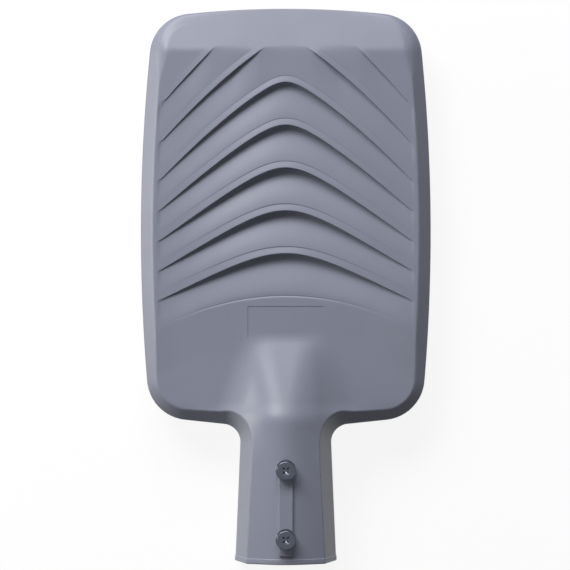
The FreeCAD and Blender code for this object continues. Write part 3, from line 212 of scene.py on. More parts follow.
def outline(along, inset):
    """The casting's right outline from the nose to the mouth, moved square inwards by inset.

    along counts its seven pieces. An arc turns evenly about its centre, with the inset taken off its
    radius (or added, in the hollow corner), and a line runs evenly between its moved ends.
    """
    along, inset = np.broadcast_arrays(np.asarray(along, float), np.asarray(inset, float))
    piece = np.clip(along.astype(int), 0, neck_piece)
    share = along - piece
    turn = arc_starts[piece] + (arc_ends[piece] - arc_starts[piece]) * share
    radius = arc_radii[piece] + arc_inward[piece] * inset
    arc = arc_centres[piece] + radius[..., None] * np.stack([np.cos(turn), np.sin(turn)], axis=-1)
    rear_from = rear_centre - (rear_radius - inset)[..., None] * rear_inward
    rear_to = hollow_centre + (hollow_radius + inset)[..., None] * rear_inward
    neck_from = hollow_centre + (hollow_radius + inset)[..., None] * neck_inward
    slide = (mouth_rounding + inset * np.sin(neck_taper)) / np.cos(neck_taper)
    neck_to = np.array([mouth_half_width, 0]) + inset[..., None] * neck_inward + slide[..., None] * neck_way
    rear_line = rear_from + (rear_to - rear_from) * share[..., None]
    neck_line = neck_from + (neck_to - neck_from) * share[..., None]
    on_rear, on_neck = (piece == rear_piece)[..., None], (piece == neck_piece)[..., None]
    place = np.where(on_rear, rear_line, np.where(on_neck, neck_line, arc))
    return place[..., 0], place[..., 1]


def eased(share):
    """0 to 1 with level ends: three squares less two cubes."""
    share = np.clip(share, 0, 1)
    return share * share * (3 - 2 * share)


def ramp(share):
    """A straight climb from 0 to 1 whose ends are eased by parabolas over 0.12 of it."""
    ease = 0.12
    share = np.clip(share, 0, 1)
    low = share**2 / (2 * ease * (1 - ease))
    high = 1 - (1 - share)**2 / (2 * ease * (1 - ease))
    middle = (share - ease / 2) / (1 - ease)
    return np.where(share < ease, low, np.where(share > 1 - ease, high, middle))


def lower_of(first, second, rounding):
    """The lower of two heights. Within rounding of each other they blend by a parabola."""
    near = np.clip(1 - np.abs(first - second) / np.maximum(rounding, 1e-9), 0, 1)
    return np.minimum(first, second) - near * near * rounding / 4


def higher_of(first, second, rounding):
    """The higher of two heights, blended in the same way."""
    return -lower_of(-first, -second, rounding)


# The louvres are counted from the nose and set out from the third: its place at the middle and at
# the ends, the spacing to the others, and how blunt its point is, as a share of the half span.
louvre_count, third = 7, 3
louvre_half_span = 102.9
third_middle, middle_spacing = 382.1, 34.1
third_end, front_end_spacing, rear_end_spacing = 301, 29.2, 23.5
third_point, point_growth, sharpest, bluntest = 0.12, 0.07, 0.1, 0.4
most_bow, least_bow = 0.5, -0.1
arc_step_middle, arc_step_sweep = 211.1, 26


def span_share(x):
    """How far x is from the middle towards the louvres' ends, 0 to 1."""
    return np.clip(np.abs(x) / louvre_half_span, 0, 1)


def arc_step(x):
    """Y of the step behind the louvres: a parabola that sweeps back to the louvres' ends."""
    return arc_step_middle - arc_step_sweep * (x / louvre_half_span)**2


def crest_line(ridge, x):
    """Y of a louvre's crest. A hyperbola gives the chevron's rounded point and a parabola bows it."""
    behind = ridge - third
    middle = third_middle - middle_spacing * behind
    end = third_end - np.where(behind > 0, rear_end_spacing, front_end_spacing) * behind
    point = np.clip(third_point + point_growth * behind, sharpest, bluntest)
    bow = np.maximum(most_bow - 2 * point, least_bow)
    share = x / louvre_half_span
    chevron = (np.sqrt(point**2 + share**2) - point) / (np.sqrt(point**2 + 1) - point)
    return middle + (end - middle) * ((1 - bow) * chevron + bow * share * share)


# A louvre from front to rear: a fine seam, the lip that rises to the crest, the wall that drops
# behind it, and the slope that climbs back to the next seam. All but the lip fade sideways.
flat_top, nose_crease = 10, 407.5
lip_at_middle, lip_spread = 5, 2.5
least_depth, added_depth, front_share_of_depth, full_depth_ridge = 0.5, 6.2, 0.45, 5
crease_fade, end_fade = 18, 0.03
wall_run, seam_run, seam_growth = 0.06, 0.3, 0.08
crest_roundness, crest_blend, foot_roundness, seam_roundness, least_rounding = 0.35, 1.2, 0.12, 0.3, 0.02
fillet_height, fillet_spread, least_fillet, even_climb = 0.1, 1.2, 0.3, 0.35
last_slope_drop, step_margin = 0.25, 1.2


def louvre_sizes(ridge, x):
    """Lip width, crest rise, wall depth and wall run of a louvre at x.

    The lip widens evenly with x's share of the half span. The rise is one less the share's square,
    all to the power 1.5. The depth is a least depth and one that falls as one less the share to the
    power 1.5, and that grows over the first five louvres and behind the nose's crease.
    """
    share = span_share(x)
    lip = lip_at_middle + lip_spread * share
    rise = (1 - share * share)**1.5
    growth = np.minimum((ridge - 1) / (full_depth_ridge - 1), 1)
    grown = front_share_of_depth + (1 - front_share_of_depth) * growth
    behind_crease = ramp((nose_crease - crest_line(ridge, x)) / crease_fade)
    depth = least_depth + added_depth * (1 - share**1.5) * grown * behind_crease
    depth = depth * eased((1 - share) / end_fade)
    return lip, rise, depth, wall_run * (depth + rise)


def lip_seam(ridge, x):
    """Depth of the fine step down where the slope ahead meets a lip: deeper to the rear, nil sideways."""
    behind_crease = eased((nose_crease - crest_line(ridge, x)) / crease_fade)
    return seam_growth * ridge * (1 - span_share(x))**1.5 * behind_crease


def slope_end(ridge, x):
    """Where the slope behind a louvre ends: at the next lip, or at the arc step behind the last."""
    lip = louvre_sizes(ridge + 1, x)[0]
    return np.where(ridge < louvre_count, crest_line(ridge + 1, x) + lip, arc_step(x) + step_margin)


def louvred_level(x, y):
    """Height of the louvres: for each, the lower of its lip and the higher of its wall and slope.

    The lip falls evenly ahead of the crest to the seam. The slope climbs partly evenly and partly
    eased, and a fillet, which is a square of the way left over it, fills the foot of the wall. Where
    two of these lines meet they blend, by a share of the rise, the depth or the seam.
    """
    share = span_share(x)
    level = np.full(x.shape, float(flat_top))
    for ridge in range(1, louvre_count + 1):
        lip, rise, depth, wall = louvre_sizes(ridge, x)
        seam = lip_seam(ridge, x)
        crest = crest_line(ridge, x)
        ahead = y - crest
        drop = last_slope_drop * (1 - share * share) * (ridge == louvre_count)
        crest_rounding = crest_roundness * rise + least_rounding
        foot_rounding = foot_roundness * depth + least_rounding
        seam_line = lower_of((ahead - lip) * seam / seam_run - seam, 0 * x, seam_roundness * seam)
        lip_line = rise - (rise + seam) * ahead / lip
        lip_line = higher_of(lip_line, seam_line, seam_roundness * crest_rounding)
        wall_line = rise + ahead / wall_run
        climb = np.clip((-ahead - wall) / (crest - wall - slope_end(ridge, x)), 0, 1)
        fillet_run = fillet_spread * depth + least_fillet
        fillet = fillet_height * depth * np.clip(1 + (ahead + wall) / fillet_run, 0, 1)**2
        climbed = even_climb * climb + (1 - even_climb) * eased(climb)
        slope_line = fillet - depth + (depth - drop) * climbed
        behind_lip = higher_of(wall_line, slope_line, foot_rounding)
        level += lower_of(lip_line, behind_lip, crest_blend * crest_rounding)
    return level


# Behind the arc step the top is a crowned flat. The hump starts on it at its foot and climbs to the
# crest of the neck, and its flat top narrows to nothing where the neck begins.
crest_top = 35.25
crown_fall, crown_half_width, crown_start = 1.8, 105.5, 40
hump_foot, hump_climb = 183, 73
hump_top_end, hump_top_spread, hump_top_half = 126, 0.18, 8
hump_tip, hump_tip_half, hump_spread, hump_widest_half = 188, 36, 0.3, 57
roof_fall, roof_ridge = 0.5, 16
neck_blend_start, neck_blend = 128, 50


def rear_level(x, y):
    """Height behind the louvres: a crowned flat, and the hump that climbs into the neck.

    The crown is a parabola across. Along, the hump climbs by a ramp. Across, it has a flat top, then
    falls by one parabola and runs out by another. The neck is a roof with a rounded ridge, which is
    a hyperbola, and the hump passes over to it near the rear edge.
    """
    crown = crown_fall * (x / crown_half_width)**2 * ramp((arc_step(x) - y) / crown_start)
    rise = (crest_top - flat_top) * ramp((hump_foot - y) / hump_climb)
    flat_half = np.clip(hump_top_spread * (y - hump_top_end), 0, hump_top_half)
    half_width = np.minimum(hump_tip_half + hump_spread * (hump_tip - y), hump_widest_half)
    share = np.clip((np.abs(x) - flat_half) / (half_width - flat_half), 0, 1)
    profile = np.where(share < 0.5, 1 - 2 * share**2, 2 * (1 - share)**2)
    hump = flat_top - crown + rise * profile
    neck = crest_top - roof_fall * (np.hypot(x, roof_ridge) - roof_ridge)
    return hump + (neck - hump) * eased((neck_blend_start - y) / neck_blend)


band_rise, band_front, band_step = 0.4, 4.5, 0.5
step_front, step_run = 0.4, 1.6
step_seam_depth, step_seam_place, step_seam_width, step_seam_half_span = 0.25, 0.5, 0.4, 84
nose_tilt, crease_rounding = radians(16.5), 0.5


def lip_band(y):
    """How far the band round the mouth stands proud of the neck."""
    return band_rise * eased((band_front - y) / band_step)


def ground_level(x, y):
    """Height of the whole top before its edges are bevelled.

    The louvres pass over to the rear by an eased step, with a fine seam ahead of it whose section is
    a bell curve. The nose is a plane that falls from its crease.
    """
    ahead = y - arc_step(x)
    behind_step = eased((step_front - ahead) / step_run)
    seam_fade = 1 - np.clip(np.abs(x) / step_seam_half_span, 0, 1)**2
    seam = step_seam_depth * np.exp(-((ahead - step_seam_place) / step_seam_width)**2) * seam_fade
    level = (louvred_level(x, y) - seam) * (1 - behind_step) + rear_level(x, y) * behind_step
    nose_plane = flat_top - (y - nose_crease) * np.tan(nose_tilt)
    return lower_of(level, nose_plane, crease_rounding) + lip_band(y)


bevel_width, neck_facet = 10.0, 27.5
bevel_rounding, corner_rounding, neck_sharpening = 0.9, 4.8, 0.2
corner_rounding_start, corner_rounding_run = 380, 28
rounding_of_inset = 0.68


def rim_level(along, x, y, inset):
    """Height near the outline: the lower of the top and the bevel, which steepens into the neck.

    The edge between them is rounded, more at the front corners, a little less on the neck, and never
    over more than a share of the inset.
    """
    into_neck = eased(along - hollow_piece)
    bevel = inset / bevel_width * (flat_top + (neck_facet - flat_top) * into_neck)
    at_corner = eased((y - corner_rounding_start) / corner_rounding_run)
    rounding = bevel_rounding + corner_rounding * at_corner - neck_sharpening * into_neck
    return lower_of(ground_level(x, y), bevel, np.minimum(rounding, rounding_of_inset * inset))


# The grid of the top. Its rows follow the seams, lips, walls and slopes of the louvres, and its
# border runs along the outline, a rim's width inside it.
rim_width = 16
columns = 120
across = np.linspace(-1, 1, columns + 1)
fine_along = np.linspace(0, outline_end, 7001)
fine_x, fine_y = outline(fine_along, rim_width)
fine_length = np.concatenate([[0], np.cumsum(np.hypot(np.diff(fine_x), np.diff(fine_y)))])
corner_along = front_piece + (nose_turn - np.pi / 4) / (nose_turn - side_turn)
corner_x, corner_y = outline(corner_along, rim_width)
on_nose = fine_along <= corner_along
nose_along = np.interp(np.abs(across) * corner_x, fine_x[on_nose], fine_along[on_nose])
nose_along[[0, -1]] = corner_along
nose_x, nose_y = outline(nose_along, rim_width)
nose_x *= np.sign(across)
crowding_start = nose_crease - 2.5
wall_foot_room = 0.25
front_count, behind_count, neck_count = 22, 68, 30


def top_rows():
    """The louvres' rows, nose to rear: louvre number, offset in mm, and shares of lip, wall and slope."""
    seams = [(offset, 1, 0, 0) for offset in (0.9, 0.45, 0.3, 0.15, 0, -0.15, -0.4)]
    lips = [(0, lip, 0, 0) for lip in (0.7, 0.45, 0.25, 0.1, 0)]
    walls = [(0, 0, wall, 0) for wall in (0.12, 0.3, 0.5, 0.7, 0.88, 1, 1.15)]
    slopes = [(0, 0, 1, slope) for slope in (0.05, 0.12, 0.25, 0.4, 0.56, 0.72, 0.86)]
    one_louvre = seams + lips + walls + slopes
    return np.array([(ridge, *row) for ridge in range(1, louvre_count + 1) for row in one_louvre])


def row_y(rows, x):
    """Y of the louvres' rows at x. Ahead of the crease they crowd together, short of the nose."""
    ridge, offset, lips, walls, slopes = (column[:, None] for column in rows.T)
    lip, _, _, wall = louvre_sizes(ridge, x)
    wall = wall + wall_foot_room
    crest = crest_line(ridge, x)
    run = crest - wall - slope_end(ridge, x)
    y = crest + offset + lips * lip - walls * wall - slopes * run
    room = np.interp(np.abs(x), nose_x[across >= 0], nose_y[across >= 0]) - crowding_start
    crowded = crowding_start + room * (1 - np.exp(-np.maximum(y - crowding_start, 0) / room))
    return np.where(y > crowding_start, crowded, y)


def step_y(x):
    """Y of the rows that run along the arc step, on both sides of it."""
    ahead = np.array([step_margin, 0.9, 0.7, 0.5, 0.3, 0.1])
    return arc_step(x) + np.concatenate([ahead, -ahead[::-1]])[:, None]


def along_between(first, last, count):
    """Places along the rim's inner line, evenly spread by length."""
    ends = np.interp([first, last], fine_along, fine_length)
    return np.interp(np.linspace(*ends, count), fine_length, fine_along)


def side_crossing(line):
    """x and place along the side arc, on the rim's inner line, of lines y = line(x).

    x is put back on the arc at the height that the line has there, until it no longer moves.
    """
    radius = side_radius - rim_width
    x = np.full_like(line(np.zeros((1, 1))), 100.0)
    for _ in range(40):
        x = side_centre[0] + np.sqrt(radius**2 - (line(x) - side_centre[1])**2)
    turn = np.arcsin((line(x) - side_centre[1]) / radius)[:, 0]
    return x, side_piece + (side_turn - turn) / (side_turn - rear_turn)


louvre_rows = top_rows()
louvre_end, louvre_along = side_crossing(lambda x: row_y(louvre_rows, x))
step_end, step_along = side_crossing(step_y)
front_along = along_between(corner_along, louvre_along[0], front_count)[:-1]
behind_along = along_between(step_along[-1], neck_piece, behind_count)[1:]
neck_front_y = outline(neck_piece, rim_width)[1]
band_y = [5, 4.7, 4.55, 4.4, 4.25, 4.1, 3.9, 3, 2]
neck_y = np.concatenate([np.linspace(neck_front_y, 6, neck_count)[1:], band_y])
neck_along = neck_piece + (neck_front_y - neck_y) / (neck_front_y - mouth_rounding)
side_along = np.concatenate([front_along, louvre_along, step_along, behind_along, neck_along, [outline_end]])
side_x, side_y = outline(side_along, rim_width)

# Row by row: the front rows blend from the nose's line to the first louvre's and follow the corner;
# the rows behind the step pass from its parabola to the straight rows of the neck.
first_x = across * louvre_end[0]
first_y = row_y(louvre_rows[:1], first_x[None])[0]
front_rows = len(front_along)
to_louvre = (np.arange(front_rows) / front_rows)[:, None]
bend = np.abs(across)**4
corner_gap_x = side_x[:front_rows, None] - (corner_x + (louvre_end[0] - corner_x) * to_louvre)
corner_gap_y = side_y[:front_rows, None] - (corner_y + (first_y[-1] - corner_y) * to_louvre)
front_x = nose_x + (first_x - nose_x) * to_louvre + np.sign(across) * bend * corner_gap_x
front_y = nose_y + (first_y - nose_y) * to_louvre + bend * corner_gap_y
louvre_x, step_x = across * louvre_end, across * step_end
neck_rows = len(neck_along) + 1
behind_rows = slice(-len(behind_along) - neck_rows, -neck_rows)
behind_end_x, behind_end_y = side_x[behind_rows, None], side_y[behind_rows, None]
neck_end_x, neck_end_y = side_x[-neck_rows:, None], side_y[-neck_rows:, None]
to_neck = np.linspace(0, 1, len(behind_along) + 1)[1:, None]
behind_middle_y = (arc_step(0) - step_margin) * (1 - to_neck) + neck_front_y * to_neck
behind_y = behind_middle_y + (behind_end_y - behind_middle_y) * np.abs(across)**(2 + 1.5 * to_neck)
top_x = np.concatenate([front_x, louvre_x, step_x, across * behind_end_x, across * neck_end_x])
louvre_y = row_y(louvre_rows, louvre_x)
top_y = np.concatenate([front_y, louvre_y, step_y(step_x), behind_y, neck_end_y + 0 * across])
top_x[:, -1], top_y[:, -1] = side_x, side_y
top_x[:, 0], top_y[:, 0] = -side_x, side_y
top_x[0], top_y[0] = nose_x, nose_y
top_places = np.stack([top_x, top_y, ground_level(top_x, top_y)], axis=-1)


def grid_faces(rows, columns, wrapped=False):
    """Quads of a grid numbered row by row. Wrapped rows are closed rings."""
    row, column = np.meshgrid(np.arange(rows - 1), np.arange(columns - (not wrapped)), indexing="ij")
    after = (column + 1) % columns
    here, below = row * columns, (row + 1) * columns
    corners = [here + column, here + after, below + after, below + column]
    return np.stack(corners, axis=-1).reshape(-1, 4).tolist()


def carried(rings):
    """A closed shell from rings of points joined in order, with a flat face on its two ends."""
    count, around = rings.shape[:2]
    ends = [list(range(around)), list(range((count - 1) * around, count * around))]
    return rings.reshape(-1, 3), grid_faces(count, around, wrapped=True) + ends


def turned(profile, place, axis=2, steps=48):
    """A profile of (station, radius) pairs turned about an axis through a place."""
    stations, radii = np.array(profile, float).T
    turn = np.linspace(0, 2 * np.pi, steps, endpoint=False)
    rings = np.empty((len(radii), steps, 3))
    rings[..., axis] = stations[:, None]
    rings[..., (axis + 1) % 3] = radii[:, None] * np.cos(turn)
    rings[..., (axis + 2) % 3] = radii[:, None] * np.sin(turn)
    return carried(rings + np.array(place))


def round_cornered(profile, half_x, half_y, corner, middle_y, steps=10):
    """A profile of (outset, height) pairs carried round a rectangle with rounded corners."""
    outset, height = (np.array(column, float)[:, None] for column in zip(*profile))
    turn = (np.arange(4)[:, None] * np.pi / 2 + np.linspace(0, np.pi / 2, steps + 1)).ravel()
    side_of_x = np.repeat([1, -1, -1, 1], steps + 1)
    side_of_y = np.repeat([1, 1, -1, -1], steps + 1)
    x = side_of_x * (half_x - corner) + (corner + outset) * np.cos(turn)
    y = middle_y + side_of_y * (half_y - corner) + (corner + outset) * np.sin(turn)
    return carried(np.stack([x, y, height + 0 * x], axis=-1))


def quarter(start, corner, end, steps=4):
    """Points of a rounding from start to end that bends towards the corner between them."""
    share = np.linspace(0, 1, steps + 1)[:, None]
    start, corner, end = (np.array(point, float) for point in (start, corner, end))
    return ((1 - share)**2 * start + 2 * share * (1 - share) * corner + share**2 * end).tolist()


def smoothed(mesh):
    """Shades a mesh smooth, apart from edges that turn by more than 35 degrees."""
    mesh.shade_smooth()
    mesh.set_sharp_from_angle(angle=radians(35))


def made(name, *surfaces):
    """A piece from (points, faces) surfaces in millimetres, merged where they meet, faces outwards."""
    points, faces, count = [], [], 0
    for surface_points, surface_faces in surfaces:
        faces += [[index + count for index in face] for face in surface_faces]
        points.append(surface_points)
        count += len(surface_points)
    mesh = bpy.data.meshes.new(name)
    mesh.from_pydata((np.concatenate(points) / 1000).tolist(), [], faces)
    worked = bmesh.new()
    worked.from_mesh(mesh)
    bmesh.ops.remove_doubles(worked, verts=worked.verts, dist=2e-6)
    bmesh.ops.recalc_face_normals(worked, faces=worked.faces)
    worked.to_mesh(mesh)
    worked.free()
    smoothed(mesh)
    piece = bpy.data.objects.new(name, mesh)
    bpy.context.scene.collection.objects.link(piece)
    return piece


def carve(piece, operation, *surfaces):
    """Takes shapes away from a piece, or joins them to it, and keeps the result as its mesh."""
    tool = made(piece.name + "_tool", *surfaces)
    cut = piece.modifiers.new("cut", "BOOLEAN")
    cut.operation, cut.object, cut.solver = operation, tool, "EXACT"
    whole = piece.evaluated_get(bpy.context.evaluated_depsgraph_get())
    mesh = bpy.data.meshes.new_from_object(whole)
    piece.modifiers.clear()
    piece.data = mesh
    bpy.data.objects.remove(tool)
    smoothed(mesh)


# The rim is carried along the outline: the bevel, the rounded parting edge, the drafted wall and
# the rounded edge of the base.
underside, wall_draft = -35.25, radians(1.2)
edge_rounding, base_rounding = 0.8, 1.5
ring_along = np.concatenate([side_along[:0:-1], nose_along, side_along[1:]])
around = len(ring_along)
half = around // 2
ring_side = np.repeat([-1, 1], [half, around - half])
bevel_insets = [rim_width, 15, 14, 13.2, 12.6, 12, 11.5, 11, 10.6, 10.2, 9.8, 9.3, 8.6, 7.6, 6.2, 4.6, 3,
                1.8, 1.2, edge_rounding]


def ring_places(inset):
    """Plan places of one ring of the rim. The band round the mouth lies further out."""
    lift = lip_band(outline(ring_along, inset)[1])
    x, y = outline(ring_along, inset - lift)
    return x * ring_side, y


rings = []
for inset in bevel_insets:
    x, y = ring_places(inset)
    rings.append(np.stack([x, y, rim_level(ring_along, np.abs(x), y, inset)], axis=-1))
rings[0] = np.concatenate([top_places[:0:-1, 0], top_places[0], top_places[1:, -1]])
bevel_foot = rings[-1][:, 2]
draft = np.tan(wall_draft)
for share in (0.25, 0.5, 0.75, 1):
    x, y = ring_places((1 - share)**2 * edge_rounding + share**2 * (draft * edge_rounding))
    rings.append(np.stack([x, y, (1 - share)**2 * bevel_foot - share**2 * edge_rounding], axis=-1))
base_inset = -underside * draft
wall_places = [(-level * draft, level) for level in (-4, -12, -22, -30)]
base_places = quarter((base_inset, underside + base_rounding), (base_inset, underside),
                      (base_inset + base_rounding, underside))
for inset, level in wall_places + base_places:
    x, y = ring_places(inset)
    rings.append(np.stack([x, y, level + 0 * x], axis=-1))
rings = np.array(rings)

# The underside joins the last ring's left half to its right half. The mouth's edge runs up the
# spigot's left side, over its top and down its right side, and its rings round it off to the bore.
low = np.arange(half - 1)
bottom_faces = np.stack([low, low + 1, around - 2 - low, around - 1 - low], axis=-1).tolist()
bottom_faces.append([half - 1, half, half + 1])
bore_aim = np.array([0, 0, -2])
mouth_loop = np.concatenate([rings[::-1, 0], top_places[-1, 1:-1], rings[:, -1]])
inward = bore_aim - mouth_loop
inward[:, 1] = 0
inward /= np.linalg.norm(inward, axis=1)[:, None]
mouth_turn = np.radians([0, 30, 60, 90])[:, None, None]
mouth_rings = mouth_loop + mouth_rounding * (1 - np.cos(mouth_turn)) * inward
mouth_rings[..., 1] -= mouth_rounding * np.sin(mouth_turn[..., 0])
mouth_faces = grid_faces(len(mouth_turn), len(mouth_loop), wrapped=True)
last_ring = (len(mouth_turn) - 1) * len(mouth_loop)
mouth_faces.append(list(range(last_ring, last_ring + len(mouth_loop))))
casting = made(
    "die_cast_housing",
    (top_places.reshape(-1, 3), grid_faces(*top_x.shape)),
    (rings.reshape(-1, 3), grid_faces(len(rings), around)),
    (rings[-1], bottom_faces),
    (mouth_rings.reshape(-1, 3), mouth_faces),
)

# Cores and drills. The spigot's bore steps down to the cable space, and the lamp chamber and the
# driver bay step in from their seats. Every mouth is flared, because a casting's edges are dull.
below = underside - 3
flare, overrun, core_rounding = 0.9, 0.1, 3
chamber_outsets, chamber_seats, chamber_ceiling = (15, 6, 0), (-31.25, -25.75), 1
chamber_plan = {"half_x": 92, "half_y": 98.75, "corner": 12, "middle_y": 317.25}
bay_outsets, bay_seats, bay_ceiling = (8.5, 0), (-28.75,), 5
bay_plan = {"half_x": 94, "half_y": 32.25, "corner": 16, "middle_y": 158.25}
socket_radius, socket_depth, socket_flare, socket_chamfer = 30.5, 92, 1.1, 0.5
cable_radius, cable_end, cable_rounding = 27, 116, 2
rib_foot, rib_top, rib_rounding = 31, 37.55, 0.85
rib_plan = {"half_x": 5.65, "half_y": 36.5, "corner": 1.6, "middle_y": 43.5}
nameplate_half_width, nameplate_rear, nameplate_front, nameplate_depth = 30.5, 178.15, 203.45, 0.35
clear_of_top = 25
clamp_screw_y, clamp_hole_radius, clamp_drill_end = (75, 20.7), 4.1, 45
gland_level, gland_hole_radius, bulkhead = -11, 8.1, (115, 127)
leads_x, leads_level, leads_hole_radius, partition = -70, -8, 5, (189.5, 219.5)


def stepped_core(outsets, seats, ceiling, plan):
    """A core that comes up from below: a flared mouth, a square step at each seat, a rounded ceiling."""
    mouth = outsets[0]
    widest = mouth + flare + overrun
    profile = [(widest, below), (widest, underside)]
    profile += quarter((mouth + flare, underside), (mouth, underside), (mouth, underside + flare))
    for outer, inner, seat in zip(outsets, outsets[1:], seats):
        profile += [(outer, seat), (inner, seat)]
    profile += quarter((0, ceiling - core_rounding), (0, ceiling), (-core_rounding, ceiling))
    return round_cornered(profile, **plan)


chamber_core = stepped_core(chamber_outsets, chamber_seats, chamber_ceiling, chamber_plan)
bay_core = stepped_core(bay_outsets, bay_seats, bay_ceiling, bay_plan)
socket_mouth = socket_radius + socket_flare + overrun
socket_profile = [(-2, socket_mouth), (0, socket_mouth)]
socket_profile += quarter((0, socket_radius + socket_flare), (0, socket_radius),
                          (socket_flare, socket_radius))
socket_profile += [(socket_depth - socket_chamfer, socket_radius),
                   (socket_depth, socket_radius - socket_chamfer), (socket_depth, cable_radius)]
socket_profile += quarter((cable_end - cable_rounding, cable_radius), (cable_end, cable_radius),
                          (cable_end, cable_radius - cable_rounding))
socket_core = turned(socket_profile, (0, 0, 0), axis=1, steps=96)
rib_profile = [(0, rib_foot)]
rib_profile += quarter((0, rib_top - rib_rounding), (0, rib_top), (-rib_rounding, rib_top))
carve(casting, "UNION", round_cornered(rib_profile, **rib_plan))
recess_x, recess_y = np.meshgrid(np.linspace(-nameplate_half_width, nameplate_half_width, 49),
                                 np.linspace(nameplate_rear, nameplate_front, 25))
recess_floor = np.stack([recess_x, recess_y, rear_level(recess_x, recess_y) - nameplate_depth], axis=-1)
recess_open = np.stack([recess_x, recess_y, clear_of_top + 0 * recess_x], axis=-1)[:, ::-1]
recess = carried(np.concatenate([recess_floor, recess_open], axis=1))
clamp_drill = [(0, clamp_hole_radius), (clamp_drill_end, clamp_hole_radius)]
clamp_drills = [turned(clamp_drill, (0, y, 0)) for y in clamp_screw_y]
gland_drill = turned([(y, gland_hole_radius) for y in bulkhead], (0, 0, gland_level), axis=1)
leads_drill = turned([(y, leads_hole_radius) for y in partition], (leads_x, 0, leads_level), axis=1)
carve(casting, "DIFFERENCE", chamber_core, bay_core, socket_core)
carve(casting, "DIFFERENCE", recess, *clamp_drills, gland_drill, leads_drill)
casting.data.materials.append(coat)
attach(casting, "root")
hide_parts("housing")


# Lamp. An aluminium circuit board lies on a thermal pad against the chamber's ceiling, with
# twenty-five chips under yellow phosphor. A moulded clear plate of domed lenses covers them, and ten
# screws hold plate, board and pad to the casting.
def thermal_film(place):
    """Soft blue-grey film with faint clouds."""
    return {"Base Color": place.noise(0.004).mixed(colour(150, 164, 178), colour(160, 173, 186))}


dress(finish("thermal_film", thermal_film, Roughness=0.8), "thermal_pad")


def solder_mask(place):
    """White lacquer with a slight ripple."""
    return {
        "Base Color": place.noise(0.03).mixed(colour(236, 236, 230), colour(242, 242, 238)),
        "Normal": place.noise(0.0015).bumped(0.00002),
    }


dress(finish("solder_mask", solder_mask, Roughness=0.35, Coat_Weight=0.3), "led_board")


def phosphor(place):
    """Yellow phosphor under clear resin, with fine grains of tone."""
    return {"Base Color": place.noise(0.0007).mixed(colour(236, 205, 84), colour(242, 214, 102))}


dress(finish("phosphor", phosphor, Roughness=0.5, Coat_Weight=0.6), "led_chips")


def clear_moulding(place):
    """Clear acrylic, smooth with cloudy patches."""
    return {"Roughness": 0.03 + place.noise(0.02) * 0.03}


dress(finish("clear_moulding", clear_moulding, Base_Color=colour(246, 250, 250), IOR=1.49,
             Transmission_Weight=1.0), "lens_plate")


def stainless(place):
    """Pale steel with fine streaks of tone and polish."""
    streaks = place.noise(0.0006)
    return {
        "Base Color": streaks.mixed(colour(188, 187, 186), colour(204, 203, 202)),
        "Roughness": 0.28 + streaks * 0.12,
    }


steel = finish("stainless_steel", stainless, Metallic=1.0)
dress(steel, "board_screws")


def white_moulding(place):
    """Off-white plastic with a fine spark texture."""
    return {
        "Base Color": place.noise(0.008).mixed(colour(226, 225, 218), colour(232, 231, 225)),
        "Normal": place.noise(0.0008).bumped(0.00002),
    }


white_plastic = finish("white_moulding", white_moulding, Roughness=0.45)
dress(white_plastic, "lamp_plug")


# Glass. A toughened clear pane with ground edges closes the chamber on a silicone gasket, under a
# coated frame with ten screws.
def silicone(place):
    """Grey rubber with a fine grain."""
    return {
        "Base Color": place.noise(0.01).mixed(colour(136, 139, 141), colour(146, 149, 151)),
        "Normal": place.noise(0.0012).bumped(0.00002),
    }


seal_rubber = finish("silicone", silicone, Roughness=0.6)
dress(seal_rubber, "glass_gasket")


def toughened_glass(place):
    """Clear glass with very faint patches of haze."""
    return {"Roughness": 0.01 + place.noise(0.03) * 0.02}


dress(finish("toughened_glass", toughened_glass, Base_Color=colour(246, 251, 249), IOR=1.5,
             Transmission_Weight=1.0), "lamp_glass")
dress(coat, "glass_frame")


def cross_pit(place, face, scale, inward):
    """A driver's cross: rings of twelve corners, whose arms shorten and narrow with depth.

    inward is the way into the head, 1 for up and -1 for down.
    """
    rings = []
    for depth, reach, half_width in ((-0.5, 3.7, 0.65), (0, 3.6, 0.6), (1.4, 2.6, 0.5), (2.6, 1.4, 0.45)):
        corner = scale * np.array([[reach, -half_width], [reach, half_width], [half_width, half_width]])
        turns = np.pi / 4 + np.arange(4)[:, None, None] * np.pi / 2
        x, y = corner[:, 0], corner[:, 1]
        arms = [x * np.cos(turns) - y * np.sin(turns), x * np.sin(turns) + y * np.cos(turns)]
        plan = np.stack(arms, axis=-1).reshape(-1, 2)
        rings.append(np.column_stack([plan, np.full(len(plan), face + inward * scale * depth)]))
    return carried(np.array(rings) + np.array([*place, 0]))


def pan_head_screws(name, node, places):
    """Pan head screws that point up, each a profile turned about its axis, with a driver's cross."""
    face, seat, tip = -34.95, -32.75, -24.75
    head, crown_width, crown_height = 3.5, 1.3, 1.15
    shank, chamfer_width, chamfer_height = 2, 0.4, 0.45
    profile = quarter((face, head - crown_width), (face, head), (face + crown_height, head), 5)
    profile += [(seat, head), (seat, shank), (tip - chamfer_height, shank), (tip, shank - chamfer_width)]
    group = made(name, *(turned(profile, (*place, 0), steps=40) for place in places))
    carve(group, "DIFFERENCE", *(cross_pit(place, face, 0.48, 1) for place in places))
    group.data.materials.append(steel)
    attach(group, "root")
    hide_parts(node)


def both_sides(*places):
    """Places on the right, each with its mirror place on the left."""
    return [(side * x, y) for x, y in places for side in (-1, 1)]


pan_head_screws("crossed_frame_screws", "frame_screws", both_sides(
    (102.5, 224.39), (102.5, 317.25), (102.5, 410.11), (51.25, 208), (51.25, 426.5)))


